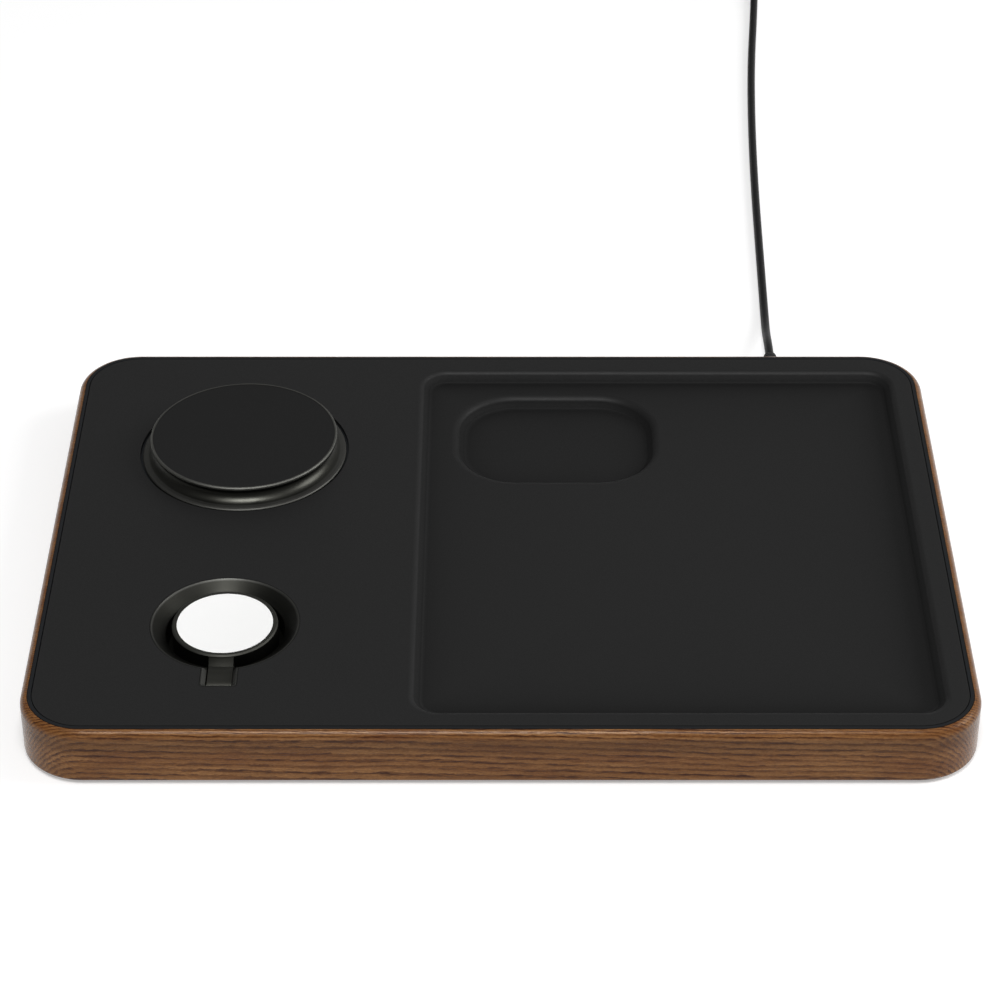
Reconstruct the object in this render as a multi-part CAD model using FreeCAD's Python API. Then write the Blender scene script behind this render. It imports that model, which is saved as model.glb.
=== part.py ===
import FreeCAD, Part
import math
import os

# Charging station organizer: a wood-framed tray with a raised phone charger, a flip-up watch charger,
# a valet recess with an earbud pocket, and a captive power cord. Lengths in mm, angles in degrees, +Z up.
# The origin is on the table under the middle of the frame, and the front faces -Y.

V = FreeCAD.Vector
up = V(0, 0, 1)

# Wood frame
tray_width = 264.5
tray_depth = 188.5
tray_corner = 18.0
frame_height = 17.2
stand_gap = 1.0
frame_wall = 6.3
frame_rim = 2.0
frame_top_round = 2.6
frame_low_round = 1.2
frame_skirt = 3.5

# Carrier deck and the pad that lies on it
deck_thick = 2.0
deck_gap = 0.15
lip_width = 1.0
lip_groove = 0.25
pad_thick = 1.2
skin_gap = 0.25

# Valet recess: margins from its mouth to the frame's outside, the rounds of its walls as ratios of its drop,
# and the left strip that holds the chargers
valet_side_margin = 9.25
valet_front_margin = 8.75
valet_back_margin = 10.35
valet_corner = 8.0
valet_drop = 2.7
valet_slope_angle = 45.0
valet_edge_ratio = 0.75
valet_foot_ratio = 0.75
strip_ratio = 0.4
strip_extra = 1.65

# Earbud-case pocket in the recess floor, near its left rear corner
pocket_width = 60.7
pocket_depth = 45.8
pocket_corner = 18.0
pocket_side_inset = 11.46
pocket_end_inset = 10.5
pocket_drop = 3.0
pocket_slope_angle = 60.0
pocket_edge_ratio = 0.96
pocket_foot_ratio = 0.96

# Base plate, feet and the steel weight
base_thick = 2.0
base_gap = 0.2
foot_diameter = 14.0
foot_sink = 0.8
foot_round = 0.5
foot_side_inset = 24.0
foot_end_inset = 32.15
weight_side_margin = 21.0
weight_end_margin = 21.15
weight_corner = 6.0
weight_thick = 2.5
peg_diameter = 3.0
peg_proud = 0.5
peg_inset = 9.0

# Phone charger pedestal
charger_offset = 0.55
phone_forward = 7.125
phone_disc = 56.6
phone_overhang = 2.0
phone_rise = 5.9
phone_edge = 1.4
phone_rim = 0.7
phone_face_thick = 1.2
phone_face_gap = 0.05
phone_face_sink = 0.1
phone_neck_land = 0.35
phone_ledge = 0.925
phone_bevel = 0.3
phone_wall = 1.3
phone_floor = 1.4
phone_hole_gap = 0.82
spigot_step = 2.8
spigot_wall = 2.0
spigot_gap = 0.2
spigot_tail = 1.0
nut_width = 5.3
nut_thick = 2.4
nut_notch_count = 6
nut_notch_width = 4.0
nut_notch_depth = 2.0
phone_shield_thick = 2.0
phone_coil_inner = 18.0
phone_coil_gap = 1.3
winding_count = 6
winding_groove = 0.3
magnet_gap = 0.8
magnet_width = 3.4
magnet_count = 18
magnet_gap_angle = 3.0
phone_board_thick = 1.6
wire_hole = 8.0

# Watch charger: keyhole dish, puck and hinge
watch_back = 1.575
puck_diameter = 30.0
puck_height = 7.9
puck_wall = 1.35
puck_floor = 1.5
puck_seat_gap = 0.3
puck_bevel = 0.4
dish_room = 1.5
dish_flare = 4.6
dish_well_flare = 0.4
dish_cone_angle = 36.0
dish_land = 0.25
dish_wall = 1.4
dish_flange_width = 4.6
dish_flange_thick = 1.6
dish_fit = 0.15
slot_width = 7.5
slot_bevel = 1.1
slot_beyond = 5.9
slot_corner = 1.0
cheek_wall = 3.85
arm_gap = 0.3
arm_thick = 3.2
arm_drop = 2.0
arm_ramp = 0.3
barrel_radius = 2.6
barrel_room = 0.3
pin_diameter = 2.0
pin_fit = 0.02
pin_play = 0.05
watch_face_thick = 1.4
watch_face_hollow = 0.4
watch_face_gap = 0.05
watch_core_thick = 2.8
watch_coil_inner = 11.0
watch_magnet_diameter = 9.6
inner_gap = 0.3

# Earbud charging coil under the pocket
bud_coil_inner = 12.0
bud_coil_outer = 28.0
bud_coil_thick = 1.2
bud_shield_diameter = 30.0
bud_shield_thick = 0.8

# Circuit board on posts of the base plate: part heights are ratios of the room above the board,
# and their places are ratios of its half width and half depth
board_width = 48.0
board_depth = 34.0
board_corner = 2.0
board_shift = 3.2
board_setback = 12.35
board_thick = 1.6
board_lift = 2.5
post_diameter = 6.0
post_inset = 3.5
inductor_size = 8.0
inductor_ratio = 0.61
inductor_place_ratios = [(0.3, -0.12), (0.72, -0.12)]
capacitor_diameter = 6.3
capacitor_ratio = 0.86
capacitor_place_ratios = [(-0.25, 0.6), (0.55, 0.6), (0.1, -0.68)]
chip_size = 7.0
chip_ratio = 0.18
chip_place_ratios = [(-0.72, -0.2), (-0.2, -0.2)]
connector_width = 8.0
connector_depth = 8.0
connector_ratio = 0.61
connector_overhang = 2.0

# Screws: thread, head and head height, with the play round them
screw_play = 0.1
base_screw = {"thread": 2.4, "head": 4.4, "sink": 1.2, "grip": 7.0}
board_screw = {"thread": 2.2, "head": 4.2, "sink": 1.2, "grip": 3.0}
dish_screw = {"thread": 2.0, "head": 3.6, "sink": 1.2, "grip": 1.5}
boss_diameter = 6.5
boss_inset = 16.0
boss_inner_ratio = 0.15
dish_screw_angles = [35, 145, 215, 325]
rib_thick = 1.2
rib_height = 2.5
rib_row_count = 4
rib_column_count = 3

# Power cord, its strain relief and its far plug
cord_diameter = 2.8
cord_inset = 45.05
floor_gap = 0.05
boot_flange = 10.8
boot_flange_thick = 1.5
boot_neck = 8.0
boot_gap = 0.2
boot_collar = 7.0
boot_tip = 4.2
boot_length = 11.0
coil_aside = 9.2
coil_behind = 302.75
coil_turn_gap = 0.45
coil_middle = 32.2
coil_turns_in = 4.25
coil_turns_out = 4.0
tie_width = 8.0
tie_thick = 0.6
tie_gap = 0.3
plug_boot_length = 8.0
plug_boot_large = 5.4
plug_width = 11.4
plug_height = 6.0
plug_length = 19.0
plug_round = 1.6
plug_shell_width = 8.3
plug_shell_height = 2.5
plug_shell_length = 6.7
plug_shell_wall = 0.35

# Sizes and places that follow from the ones above
strip_width = strip_ratio * tray_width + strip_extra
strip_x = (strip_width - tray_width) / 2
valet_width = tray_width - strip_width - valet_side_margin
valet_depth = tray_depth - valet_front_margin - valet_back_margin
valet_x = tray_width / 2 - valet_side_margin - valet_width / 2
valet_y = (valet_front_margin - valet_back_margin) / 2
valet_edge_round = valet_edge_ratio * valet_drop
valet_foot_round = valet_foot_ratio * valet_drop
pocket_edge_round = pocket_edge_ratio * pocket_drop
pocket_foot_round = pocket_foot_ratio * pocket_drop
pocket_x = valet_x - valet_width / 2 + pocket_side_inset + pocket_width / 2
pocket_y = valet_y + valet_depth / 2 - pocket_end_inset - pocket_depth / 2
phone_x = strip_x + charger_offset
phone_y = tray_depth / 4 - phone_forward
watch_x = strip_x + charger_offset
watch_y = watch_back - tray_depth / 4
cord_x = tray_width / 2 - cord_inset
back_face = tray_depth / 2
back_inside = back_face - frame_wall
board_x = cord_x - board_shift
board_y = back_inside - board_setback - board_depth / 2
weight_width = strip_width - 2 * weight_side_margin
weight_depth = tray_depth - 2 * weight_end_margin

phone_neck = phone_disc - 2 * phone_overhang
phone_cove = phone_rise - phone_edge - 1.5 * phone_bevel - phone_neck_land
phone_flange = phone_neck + 2 * phone_cove + 2 * phone_ledge
phone_cavity = phone_neck - 2 * phone_wall
spigot_diameter = phone_neck - 2 * spigot_step
nut_bore = spigot_diameter + 2 * spigot_gap
nut_diameter = nut_bore + 2 * nut_width
magnet_outer = phone_cavity - 2 * magnet_gap
magnet_inner = magnet_outer - 2 * magnet_width
phone_coil_outer = magnet_inner - 2 * phone_coil_gap
dish_floor = puck_diameter + 2 * dish_room
dish_well = dish_floor + 2 * dish_well_flare
dish_rim = dish_floor + 2 * dish_flare
dish_flange = dish_rim + 2 * dish_flange_width
dish_screw_circle = (dish_rim + dish_flange) / 2
slot_reach = dish_rim / 2 + slot_beyond
cheek_width = slot_width + 2 * cheek_wall
arm_width = slot_width - 2 * arm_gap
watch_cavity = puck_diameter - 2 * puck_wall
watch_inner = watch_cavity - 2 * inner_gap

pad_top = stand_gap + frame_height
deck_top = pad_top - pad_thick
deck_under = deck_top - deck_thick
base_top = stand_gap + base_thick
valet_floor = pad_top - valet_drop
pocket_floor = valet_floor - pocket_drop
valet_deck_under = valet_floor - pad_thick - deck_thick
pocket_deck_under = pocket_floor - pad_thick - deck_thick
board_under = base_top + board_lift
board_top = board_under + board_thick
board_room = valet_deck_under - board_top
connector_height = connector_ratio * board_room
connector_back = board_y + board_depth / 2 + connector_overhang
cord_z = board_top + connector_height / 2
boot_end = back_face + boot_length
disc_top = pad_top + phone_rise
phone_stack = deck_top + phone_floor
phone_stack_top = disc_top - phone_face_thick
puck_under = pad_top - puck_height
well_floor = puck_under - puck_seat_gap
watch_face_under = pad_top - watch_face_thick
watch_core_low = puck_under + puck_floor
watch_coil_low = watch_core_low + watch_core_thick
hinge_z = pad_top - arm_drop - barrel_radius
hinge_y = watch_y - slot_reach + barrel_radius + barrel_room
slot_floor = min(well_floor, hinge_z - barrel_radius - barrel_room)


def rounded_wire(width, depth, corner, x, y, z):
    """Rounded rectangle, level, as one closed wire."""
    a = width / 2 - corner
    b = depth / 2 - corner
    edges = []
    for k, (sx, sy) in enumerate([(1, 1), (-1, 1), (-1, -1), (1, -1)]):
        centre = V(x + sx * a, y + sy * b, z)
        turn = [math.radians(90 * k + t) for t in (0, 45, 90)]
        rim = [centre + V(corner * math.cos(t), corner * math.sin(t), 0) for t in turn]
        if edges and (rim[0] - last).Length > 1e-6:
            edges.append(Part.LineSegment(last, rim[0]).toShape())
        edges.append(Part.Arc(*rim).toShape())
        if k == 0:
            first = rim[0]
        last = rim[2]
    if (first - last).Length > 1e-6:
        edges.append(Part.LineSegment(last, first).toShape())
    return Part.Wire(edges)


def slab(width, depth, corner, x, y, low, high):
    face = Part.Face(rounded_wire(width, depth, corner, x, y, low))
    return face.extrude(V(0, 0, high - low))


def rod(diameter, x, y, low, high):
    return Part.makeCylinder(diameter / 2, high - low, V(x, y, low))


def disc_ring(inner, outer, x, y, low, high):
    return rod(outer, x, y, low, high).cut(rod(inner, x, y, low, high))


def turned(points, x, y, sweep=360):
    """Solid of revolution about an upright line: (radius, z) points, an arc where a middle is nested."""
    edges = []
    here = points[0]
    for step in points[1:] + [points[0]]:
        if len(step) == 2 and isinstance(step[0], tuple):
            mid, end = step
            arc = Part.Arc(V(here[0], 0, here[1]), V(mid[0], 0, mid[1]), V(end[0], 0, end[1]))
            edges.append(arc.toShape())
            here = end
        elif step != here:
            edges.append(Part.LineSegment(V(here[0], 0, here[1]), V(step[0], 0, step[1])).toShape())
            here = step
    solid = Part.Face(Part.Wire(edges)).revolve(V(0, 0, 0), up, sweep)
    solid.translate(V(x, y, 0))
    return solid


def edges_at(shape, z, test=None):
    """Edges that lie level at height z and pass the test on their middle."""
    found = []
    for edge in shape.Edges:
        box = edge.BoundBox
        if abs(box.ZMin - z) < 1e-4 and abs(box.ZMax - z) < 1e-4:
            if test is None or test(edge.CenterOfMass):
                found.append(edge)
    return found


valet = {"x": valet_x, "y": valet_y, "width": valet_width, "depth": valet_depth,
         "corner": valet_corner, "slope": valet_slope_angle, "mouth": pad_top}
pocket = {"x": pocket_x, "y": pocket_y, "width": pocket_width, "depth": pocket_depth,
          "corner": pocket_corner, "slope": pocket_slope_angle, "mouth": valet_floor}


def wall_face(reach, site, thick, floor, top, edge_round, foot_round):
    """Half section of a basin from its middle out to a wall that lies `thick` outside the site's wall."""
    slope = math.radians(site["slope"])
    mouth = site["mouth"]

    def out(z):
        return reach + thick / math.sin(slope) - (mouth - z) / math.tan(slope)

    foot = foot_round * math.tan(slope / 2)
    edges = []
    here = V(0, 0, floor)

    def line_to(x, z):
        nonlocal here
        there = V(x, 0, z)
        if (there - here).Length > 1e-7:
            edges.append(Part.LineSegment(here, there).toShape())
        here = there

    def arc_to(middle, end):
        nonlocal here
        edges.append(Part.Arc(here, middle, end).toShape())
        here = end

    line_to(out(floor) - foot, floor)
    if foot_round > 0:
        centre = V(out(floor) - foot, 0, floor + foot_round)
        arc_to(centre + V(math.sin(slope / 2), 0, -math.cos(slope / 2)) * foot_round,
               centre + V(math.sin(slope), 0, -math.cos(slope)) * foot_round)
    if edge_round > 0:
        run = edge_round * math.tan(slope / 2)
        centre = V(out(mouth) + run, 0, mouth - edge_round)
        start = centre + V(-math.sin(slope), 0, math.cos(slope)) * edge_round
        line_to(start.x, start.z)
        arc_to(centre + V(-math.sin(slope / 2), 0, math.cos(slope / 2)) * edge_round,
               centre + V(0, 0, edge_round))
        line_to(here.x, top)
    else:
        line_to(out(top), top)
    line_to(0, top)
    line_to(0, floor)
    return Part.Face(Part.Wire(edges))


def basin(site, thick, floor, top, edge_round=0.0, foot_round=0.0):
    """Basin with sloping walls and round corners: four straight walls and four turned corners."""
    half_w = site["width"] / 2
    half_d = site["depth"] / 2
    corner = site["corner"]
    signs = [(1, 1), (-1, 1), (-1, -1), (1, -1)]
    pieces = []
    for k, (sx, sy) in enumerate(signs):
        reach, run = (half_w, half_d - corner) if k % 2 == 0 else (half_d, half_w - corner)
        side = wall_face(reach, site, thick, floor, top, edge_round, foot_round).extrude(V(0, 2 * run, 0))
        side.translate(V(0, -run, 0))
        side.rotate(V(0, 0, 0), up, 90 * k)
        bend = wall_face(corner, site, thick, floor, top, edge_round, foot_round).revolve(V(0, 0, 0), up, 90)
        bend.rotate(V(0, 0, 0), up, 90 * k)
        bend.translate(V(sx * (half_w - corner), sy * (half_d - corner), 0))
        pieces += [side, bend]
    solid = pieces[0].multiFuse(pieces[1:]).removeSplitter()
    solid.translate(V(site["x"], site["y"], 0))
    return solid


def inset_slab(inset, low, high):
    """Plate with the frame's outline drawn in by an inset."""
    return slab(tray_width - 2 * inset, tray_depth - 2 * inset, tray_corner - inset, 0, 0, low, high)


def screw(kind, x, y, seat, direction):
    """Screw whose head's outer face lies at `seat`, with its thread along direction (1 up, -1 down)."""
    head = kind["head"] / 2
    thread = kind["thread"] / 2
    sink = kind["sink"]
    end = sink + kind["grip"]
    points = [(0, 0), (head, 0), (head, sink), (thread, sink), (thread, end), (0, end)]
    return turned([(r, seat + direction * z) for r, z in points], x, y)


def screw_group(kind, places, seat, direction):
    return Part.makeCompound([screw(kind, x, y, seat, direction) for x, y in places])


def screw_hole(kind, x, y, seat, direction, through):
    """Stepped clearance for a screw, with its head room reaching `through` beyond the head's outer face."""
    head = kind["head"] / 2 + screw_play
    thread = kind["thread"] / 2 + screw_play / 2
    sink = kind["sink"]
    end = sink + kind["grip"] + screw_play
    points = [(0, -through), (head, -through), (head, sink), (thread, sink), (thread, end), (0, end)]
    return turned([(r, seat + direction * z) for r, z in points], x, y)


def keyhole(grow, low, high):
    """Outline of the watch dish and its slot, grown by a clearance."""
    circle = rod(dish_rim + 2 * grow, watch_x, watch_y, low, high)
    width = slot_width + 2 * (slot_bevel + dish_land) + 2 * grow
    front = watch_y - slot_reach - slot_bevel - dish_land - grow
    corner = slot_corner + grow
    slot = slab(width, watch_y - front, corner, watch_x, (watch_y + front) / 2, low, high)
    return circle.fuse(slot).removeSplitter()


def four_corners(x, y, half_x, half_y):
    return [(x + sx * half_x, y + sy * half_y) for sx in (-1, 1) for sy in (-1, 1)]


boss_out = tray_width / 2 - boss_inset
boss_end = tray_depth / 2 - boss_inset
base_screw_places = four_corners(0, 0, boss_out, boss_end)
base_screw_places += four_corners(0, 0, boss_inner_ratio * tray_width, boss_end)
base_screw_places += [(-boss_out, 0), (boss_out, 0)]
foot_names = ["foot_front_left", "foot_rear_left", "foot_front_right", "foot_rear_right"]
foot_places = four_corners(0, 0, tray_width / 2 - foot_side_inset, tray_depth / 2 - foot_end_inset)
post_places = four_corners(board_x, board_y, board_width / 2 - post_inset, board_depth / 2 - post_inset)
peg_places = four_corners(strip_x, 0, weight_width / 2 - peg_inset, weight_depth / 2 - peg_inset)
dish_screw_places = []
for angle in dish_screw_angles:
    turn = math.radians(angle)
    radius = dish_screw_circle / 2
    dish_screw_places.append((watch_x + radius * math.cos(turn), watch_y + radius * math.sin(turn)))
dish_screw_seat = deck_under - dish_flange_thick - dish_screw["sink"]
board_screw_seat = board_top + board_screw["sink"]


def wood_frame():
    body = inset_slab(0, stand_gap, pad_top)
    body = body.makeFillet(frame_top_round, edges_at(body, pad_top))
    body = body.makeFillet(frame_low_round, edges_at(body, stand_gap))
    body = body.cut(inset_slab(frame_wall, stand_gap, pad_top))
    body = body.cut(inset_slab(frame_rim, deck_under, pad_top))
    body = body.cut(inset_slab(frame_skirt, stand_gap, base_top))
    hole_start = V(cord_x, back_inside - frame_wall / 2, cord_z)
    hole = Part.makeCylinder(boot_neck / 2 + boot_gap, 2 * frame_wall, hole_start, V(0, 1, 0))
    return body.cut(hole)


def deck_webs():
    """Ribs under the recess, in front of the pocket, and the bosses that take the base screws."""
    left = valet_x - valet_width / 2 + valet_drop
    right = valet_x + valet_width / 2 - valet_drop
    front = valet_y - valet_depth / 2 + valet_drop
    row_step = (pocket_y - pocket_depth / 2 - front) / (rib_row_count + 1)
    column_step = (right - left) / (rib_column_count + 1)
    low = valet_deck_under - rib_height
    webs = []
    for k in range(rib_row_count):
        corner = V(left, front + (k + 1) * row_step - rib_thick / 2, low)
        webs.append(Part.makeBox(right - left, rib_thick, rib_height, corner))
    for k in range(rib_column_count):
        corner = V(left + (k + 1) * column_step - rib_thick / 2, front, low)
        webs.append(Part.makeBox(rib_thick, rib_row_count * row_step, rib_height, corner))
    for x, y in base_screw_places:
        high = deck_under if x < left else valet_deck_under
        webs.append(rod(boss_diameter, x, y, base_top, high))
    return webs


def deck():
    inset = frame_rim + deck_gap
    body = inset_slab(inset, deck_under, pad_top)
    body = body.cut(inset_slab(inset + lip_width, deck_top, pad_top))
    shell = pad_thick + skin_gap + deck_thick
    tub = basin(valet, shell, valet_deck_under, deck_under)
    cup = basin(pocket, shell, pocket_deck_under, valet_deck_under)
    body = body.multiFuse([tub, cup])
    body = body.multiFuse(deck_webs())
    body = body.cut(basin(valet, pad_thick + skin_gap, valet_floor - pad_thick, pad_top))
    body = body.cut(basin(pocket, pad_thick + skin_gap, pocket_floor - pad_thick, valet_floor))
    cuts = [rod(nut_bore, phone_x, phone_y, deck_under, pad_top), keyhole(dish_fit, deck_under, pad_top)]
    for x, y in base_screw_places:
        cuts.append(screw_hole(base_screw, x, y, stand_gap, 1, 0))
    for x, y in dish_screw_places:
        cuts.append(screw_hole(dish_screw, x, y, dish_screw_seat, 1, 0))
    return body.cut(Part.makeCompound(cuts)).removeSplitter()


def top_pad():
    inset = frame_rim + deck_gap + lip_width + lip_groove
    body = inset_slab(inset, deck_top, pad_top)
    body = body.fuse(basin(valet, pad_thick, valet_floor - pad_thick, deck_top))
    body = body.fuse(basin(pocket, pad_thick, pocket_floor - pad_thick, valet_floor - pad_thick))
    body = body.cut(basin(valet, 0, valet_floor, pad_top, valet_edge_round, valet_foot_round))
    body = body.cut(basin(pocket, 0, pocket_floor, valet_floor, pocket_edge_round, pocket_foot_round))
    body = body.cut(rod(phone_flange + 2 * phone_hole_gap, phone_x, phone_y, deck_top, pad_top))
    return body.cut(keyhole(dish_fit, deck_top, pad_top)).removeSplitter()


def base_plate():
    body = inset_slab(frame_skirt + base_gap, stand_gap, base_top)
    posts = [rod(post_diameter, x, y, base_top, board_under) for x, y in post_places]
    posts += [rod(peg_diameter, x, y, base_top, base_top + weight_thick + peg_proud) for x, y in peg_places]
    body = body.multiFuse(posts)
    cuts = []
    for x, y in foot_places:
        cuts.append(rod(foot_diameter + 2 * base_gap, x, y, stand_gap, stand_gap + foot_sink))
    for x, y in base_screw_places:
        cuts.append(screw_hole(base_screw, x, y, stand_gap, 1, 0))
    for x, y in post_places:
        cuts.append(screw_hole(board_screw, x, y, board_screw_seat, -1, 0))
    return body.cut(Part.makeCompound(cuts))


def foot(x, y):
    radius = foot_diameter / 2
    high = stand_gap + foot_sink
    turn = foot_round * (1 - math.sqrt(0.5))
    return turned([(0, 0), (radius - foot_round, 0), ((radius - turn, turn), (radius, foot_round)),
                   (radius, high), (0, high)], x, y)


def weight_plate():
    high = base_top + weight_thick
    body = slab(weight_width, weight_depth, weight_corner, strip_x, 0, base_top, high)
    holes = [rod(peg_diameter + 2 * base_gap, x, y, base_top, high) for x, y in peg_places]
    return body.cut(Part.makeCompound(holes))


def phone_pedestal():
    rim = phone_disc / 2
    neck = phone_neck / 2
    flange = phone_flange / 2
    spigot = spigot_diameter / 2
    seat = disc_top - phone_face_thick
    edge_low = disc_top - phone_edge
    cove_out = neck + phone_cove
    cove_low = pad_top + phone_bevel / 2
    cove_mid = phone_cove * (1 - math.sqrt(0.5))
    tail = deck_under - nut_thick - spigot_tail
    bevel = phone_bevel
    floor_top = deck_top + phone_floor
    points = [(wire_hole / 2, deck_top), (spigot - spigot_wall, deck_top), (spigot - spigot_wall, tail),
              (spigot, tail), (spigot, deck_top), (flange, deck_top), (flange, pad_top - bevel),
              (flange - bevel, pad_top), (cove_out, cove_low),
              ((neck + cove_mid, cove_low + cove_mid), (neck, cove_low + phone_cove)),
              (neck, edge_low - bevel), (rim - bevel, edge_low), (rim, edge_low + bevel),
              (rim, disc_top - bevel), (rim - bevel, disc_top), (rim - phone_rim, disc_top),
              (rim - phone_rim, seat),
              (neck - phone_wall, seat), (neck - phone_wall, floor_top), (wire_hole / 2, floor_top)]
    return turned(points, phone_x, phone_y)


def phone_face():
    radius = phone_disc / 2 - phone_rim - phone_face_gap
    return rod(2 * radius, phone_x, phone_y, phone_stack_top, disc_top - phone_face_sink)


def wound_ring(inner, outer, x, y, low, high):
    """Flat winding: a ring whose upper face carries its turns as ridges."""
    step = (outer - inner) / 2 / winding_count
    points = [(inner / 2, low), (outer / 2, low)]
    for k in range(winding_count):
        r = outer / 2 - k * step
        points += [(r, high - winding_groove), (r - step / 2, high)]
    points.append((inner / 2, high - winding_groove))
    return turned(points, x, y)


def phone_shield():
    size = phone_cavity - 2 * inner_gap
    return rod(size, phone_x, phone_y, phone_stack, phone_stack + phone_shield_thick)


def phone_coil():
    low = phone_stack + phone_shield_thick
    return wound_ring(phone_coil_inner, phone_coil_outer, phone_x, phone_y, low, phone_stack_top)


def phone_magnets():
    """Ring of arc magnets, each a separate block."""
    low = phone_stack + phone_shield_thick
    step = 360 / magnet_count
    blocks = []
    section = [(magnet_inner / 2, low), (magnet_outer / 2, low), (magnet_outer / 2, phone_stack_top),
               (magnet_inner / 2, phone_stack_top)]
    for k in range(magnet_count):
        block = turned(section, phone_x, phone_y, step - magnet_gap_angle)
        block.rotate(V(phone_x, phone_y, 0), up, k * step)
        blocks.append(block)
    return Part.makeCompound(blocks)


def phone_board():
    size = spigot_diameter - 2 * spigot_wall - 2 * inner_gap
    return disc_ring(wire_hole, size, phone_x, phone_y, deck_top - phone_board_thick, deck_top)


def phone_nut():
    low = deck_under - nut_thick
    body = disc_ring(nut_bore, nut_diameter, phone_x, phone_y, low, deck_under)
    notches = []
    for k in range(nut_notch_count):
        corner = V(nut_diameter / 2 - nut_notch_depth, -nut_notch_width / 2, low)
        notch = Part.makeBox(2 * nut_notch_depth, nut_notch_width, nut_thick, corner)
        notch.rotate(V(0, 0, 0), up, 360 / nut_notch_count * k)
        notch.translate(V(phone_x, phone_y, 0))
        notches.append(notch)
    return body.cut(Part.makeCompound(notches))


def watch_dish():
    rim = dish_rim / 2
    low = well_floor - dish_wall
    flange_low = deck_under - dish_flange_thick
    flange = dish_flange / 2
    outside = turned([(0, low), (dish_floor / 2 + dish_wall, low), (dish_well / 2 + dish_wall, flange_low),
                      (flange, flange_low), (flange, deck_under), (rim, deck_under), (rim, pad_top),
                      (0, pad_top)], watch_x, watch_y)
    front = watch_y - slot_reach - slot_bevel - dish_land
    cheek_back = watch_y - dish_floor / 2
    cheek_low = slot_floor - dish_wall
    cheek_corner = V(watch_x - cheek_width / 2, front, cheek_low)
    cheeks = Part.makeBox(cheek_width, cheek_back - front, deck_under - cheek_low, cheek_corner)
    body = outside.multiFuse([keyhole(0, deck_under, pad_top), cheeks])
    cone_top = rim - dish_land
    cone_low = pad_top - (cone_top - dish_well / 2) * math.tan(math.radians(dish_cone_angle))
    cone = turned([(0, well_floor), (dish_floor / 2, well_floor), (dish_well / 2, cone_low),
                   (cone_top, pad_top), (0, pad_top)], watch_x, watch_y)
    slot_place = V(watch_x - slot_width / 2, watch_y - slot_reach, slot_floor)
    slot_back = slot_reach - dish_floor / 2 + dish_wall
    slot = Part.makeBox(slot_width, slot_back, pad_top - slot_floor, slot_place)
    middle = watch_y - slot_reach / 2
    bevel_low = pad_top - slot_bevel
    low_wire = rounded_wire(slot_width, slot_reach, slot_corner / 4, watch_x, middle, bevel_low)
    high_wire = rounded_wire(slot_width + 2 * slot_bevel, slot_reach + 2 * slot_bevel, slot_corner,
                             watch_x, middle, pad_top)
    bevel = Part.makeLoft([low_wire, high_wire], True, True)
    cuts = [cone, slot, bevel, hinge_rod(pin_diameter / 2 + pin_fit, cheek_width)]
    for x, y in dish_screw_places:
        cuts.append(screw_hole(dish_screw, x, y, dish_screw_seat, 1, 0))
    for cutter in cuts:
        body = body.cut(cutter)
    return body.removeSplitter()


def hinge_rod(radius, length):
    """Cylinder on the hinge line, centred on the slot."""
    return Part.makeCylinder(radius, length, V(watch_x - length / 2, hinge_y, hinge_z), V(1, 0, 0))


def watch_pin():
    return hinge_rod(pin_diameter / 2, cheek_width)


def watch_cup():
    """Puck shell with its arm and hinge barrel, one casting."""
    radius = puck_diameter / 2
    body = turned([(0, puck_under), (radius - puck_bevel, puck_under), (radius, puck_under + puck_bevel),
                   (radius, pad_top - puck_bevel), (radius - puck_bevel, pad_top), (0, pad_top)],
                  watch_x, watch_y)
    arm_top = pad_top - arm_drop
    puck_front = watch_y - radius
    side = [V(0, hinge_y, arm_top), V(0, hinge_y, arm_top - arm_thick), V(0, watch_y, arm_top - arm_thick),
            V(0, watch_y, arm_top + arm_ramp), V(0, puck_front, arm_top + arm_ramp),
            V(0, puck_front - arm_ramp, arm_top)]
    arm = Part.Face(Part.makePolygon(side + side[:1])).extrude(V(arm_width, 0, 0))
    arm.translate(V(watch_x - arm_width / 2, 0, 0))
    body = body.multiFuse([arm, hinge_rod(barrel_radius, arm_width)]).removeSplitter()
    body = body.cut(rod(watch_cavity, watch_x, watch_y, watch_core_low, pad_top))
    return body.cut(hinge_rod(pin_diameter / 2 + pin_play, arm_width))


def watch_face():
    """White disc with a shallow spherical hollow for the watch's domed back."""
    radius = watch_cavity / 2 - watch_face_gap
    high = pad_top - watch_face_gap
    body = rod(2 * radius, watch_x, watch_y, watch_face_under, high)
    sphere = (radius ** 2 + watch_face_hollow ** 2) / (2 * watch_face_hollow)
    return body.cut(Part.makeSphere(sphere, V(watch_x, watch_y, high - watch_face_hollow + sphere)))


def watch_core():
    return rod(watch_inner, watch_x, watch_y, watch_core_low, watch_coil_low)


def watch_coil():
    return wound_ring(watch_coil_inner, watch_inner, watch_x, watch_y, watch_coil_low, watch_face_under)


def watch_magnet():
    return rod(watch_magnet_diameter, watch_x, watch_y, watch_coil_low, watch_face_under)


def bud_coil():
    high = pocket_deck_under
    return disc_ring(bud_coil_inner, bud_coil_outer, pocket_x, pocket_y, high - bud_coil_thick, high)


def bud_shield():
    high = pocket_deck_under - bud_coil_thick
    return rod(bud_shield_diameter, pocket_x, pocket_y, high - bud_shield_thick, high)


def main_board():
    body = slab(board_width, board_depth, board_corner, board_x, board_y, board_under, board_top)
    holes = [screw_hole(board_screw, x, y, board_screw_seat, -1, 0) for x, y in post_places]
    return body.cut(Part.makeCompound(holes))


def board_places(ratios):
    return [(board_x + u * board_width / 2, board_y + v * board_depth / 2) for u, v in ratios]


def board_blocks(size, height_ratio, place_ratios):
    """Square parts soldered on the board, each a separate block."""
    high = board_top + height_ratio * board_room
    blocks = [slab(size, size, size / 10, x, y, board_top, high) for x, y in board_places(place_ratios)]
    return Part.makeCompound(blocks)


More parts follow.
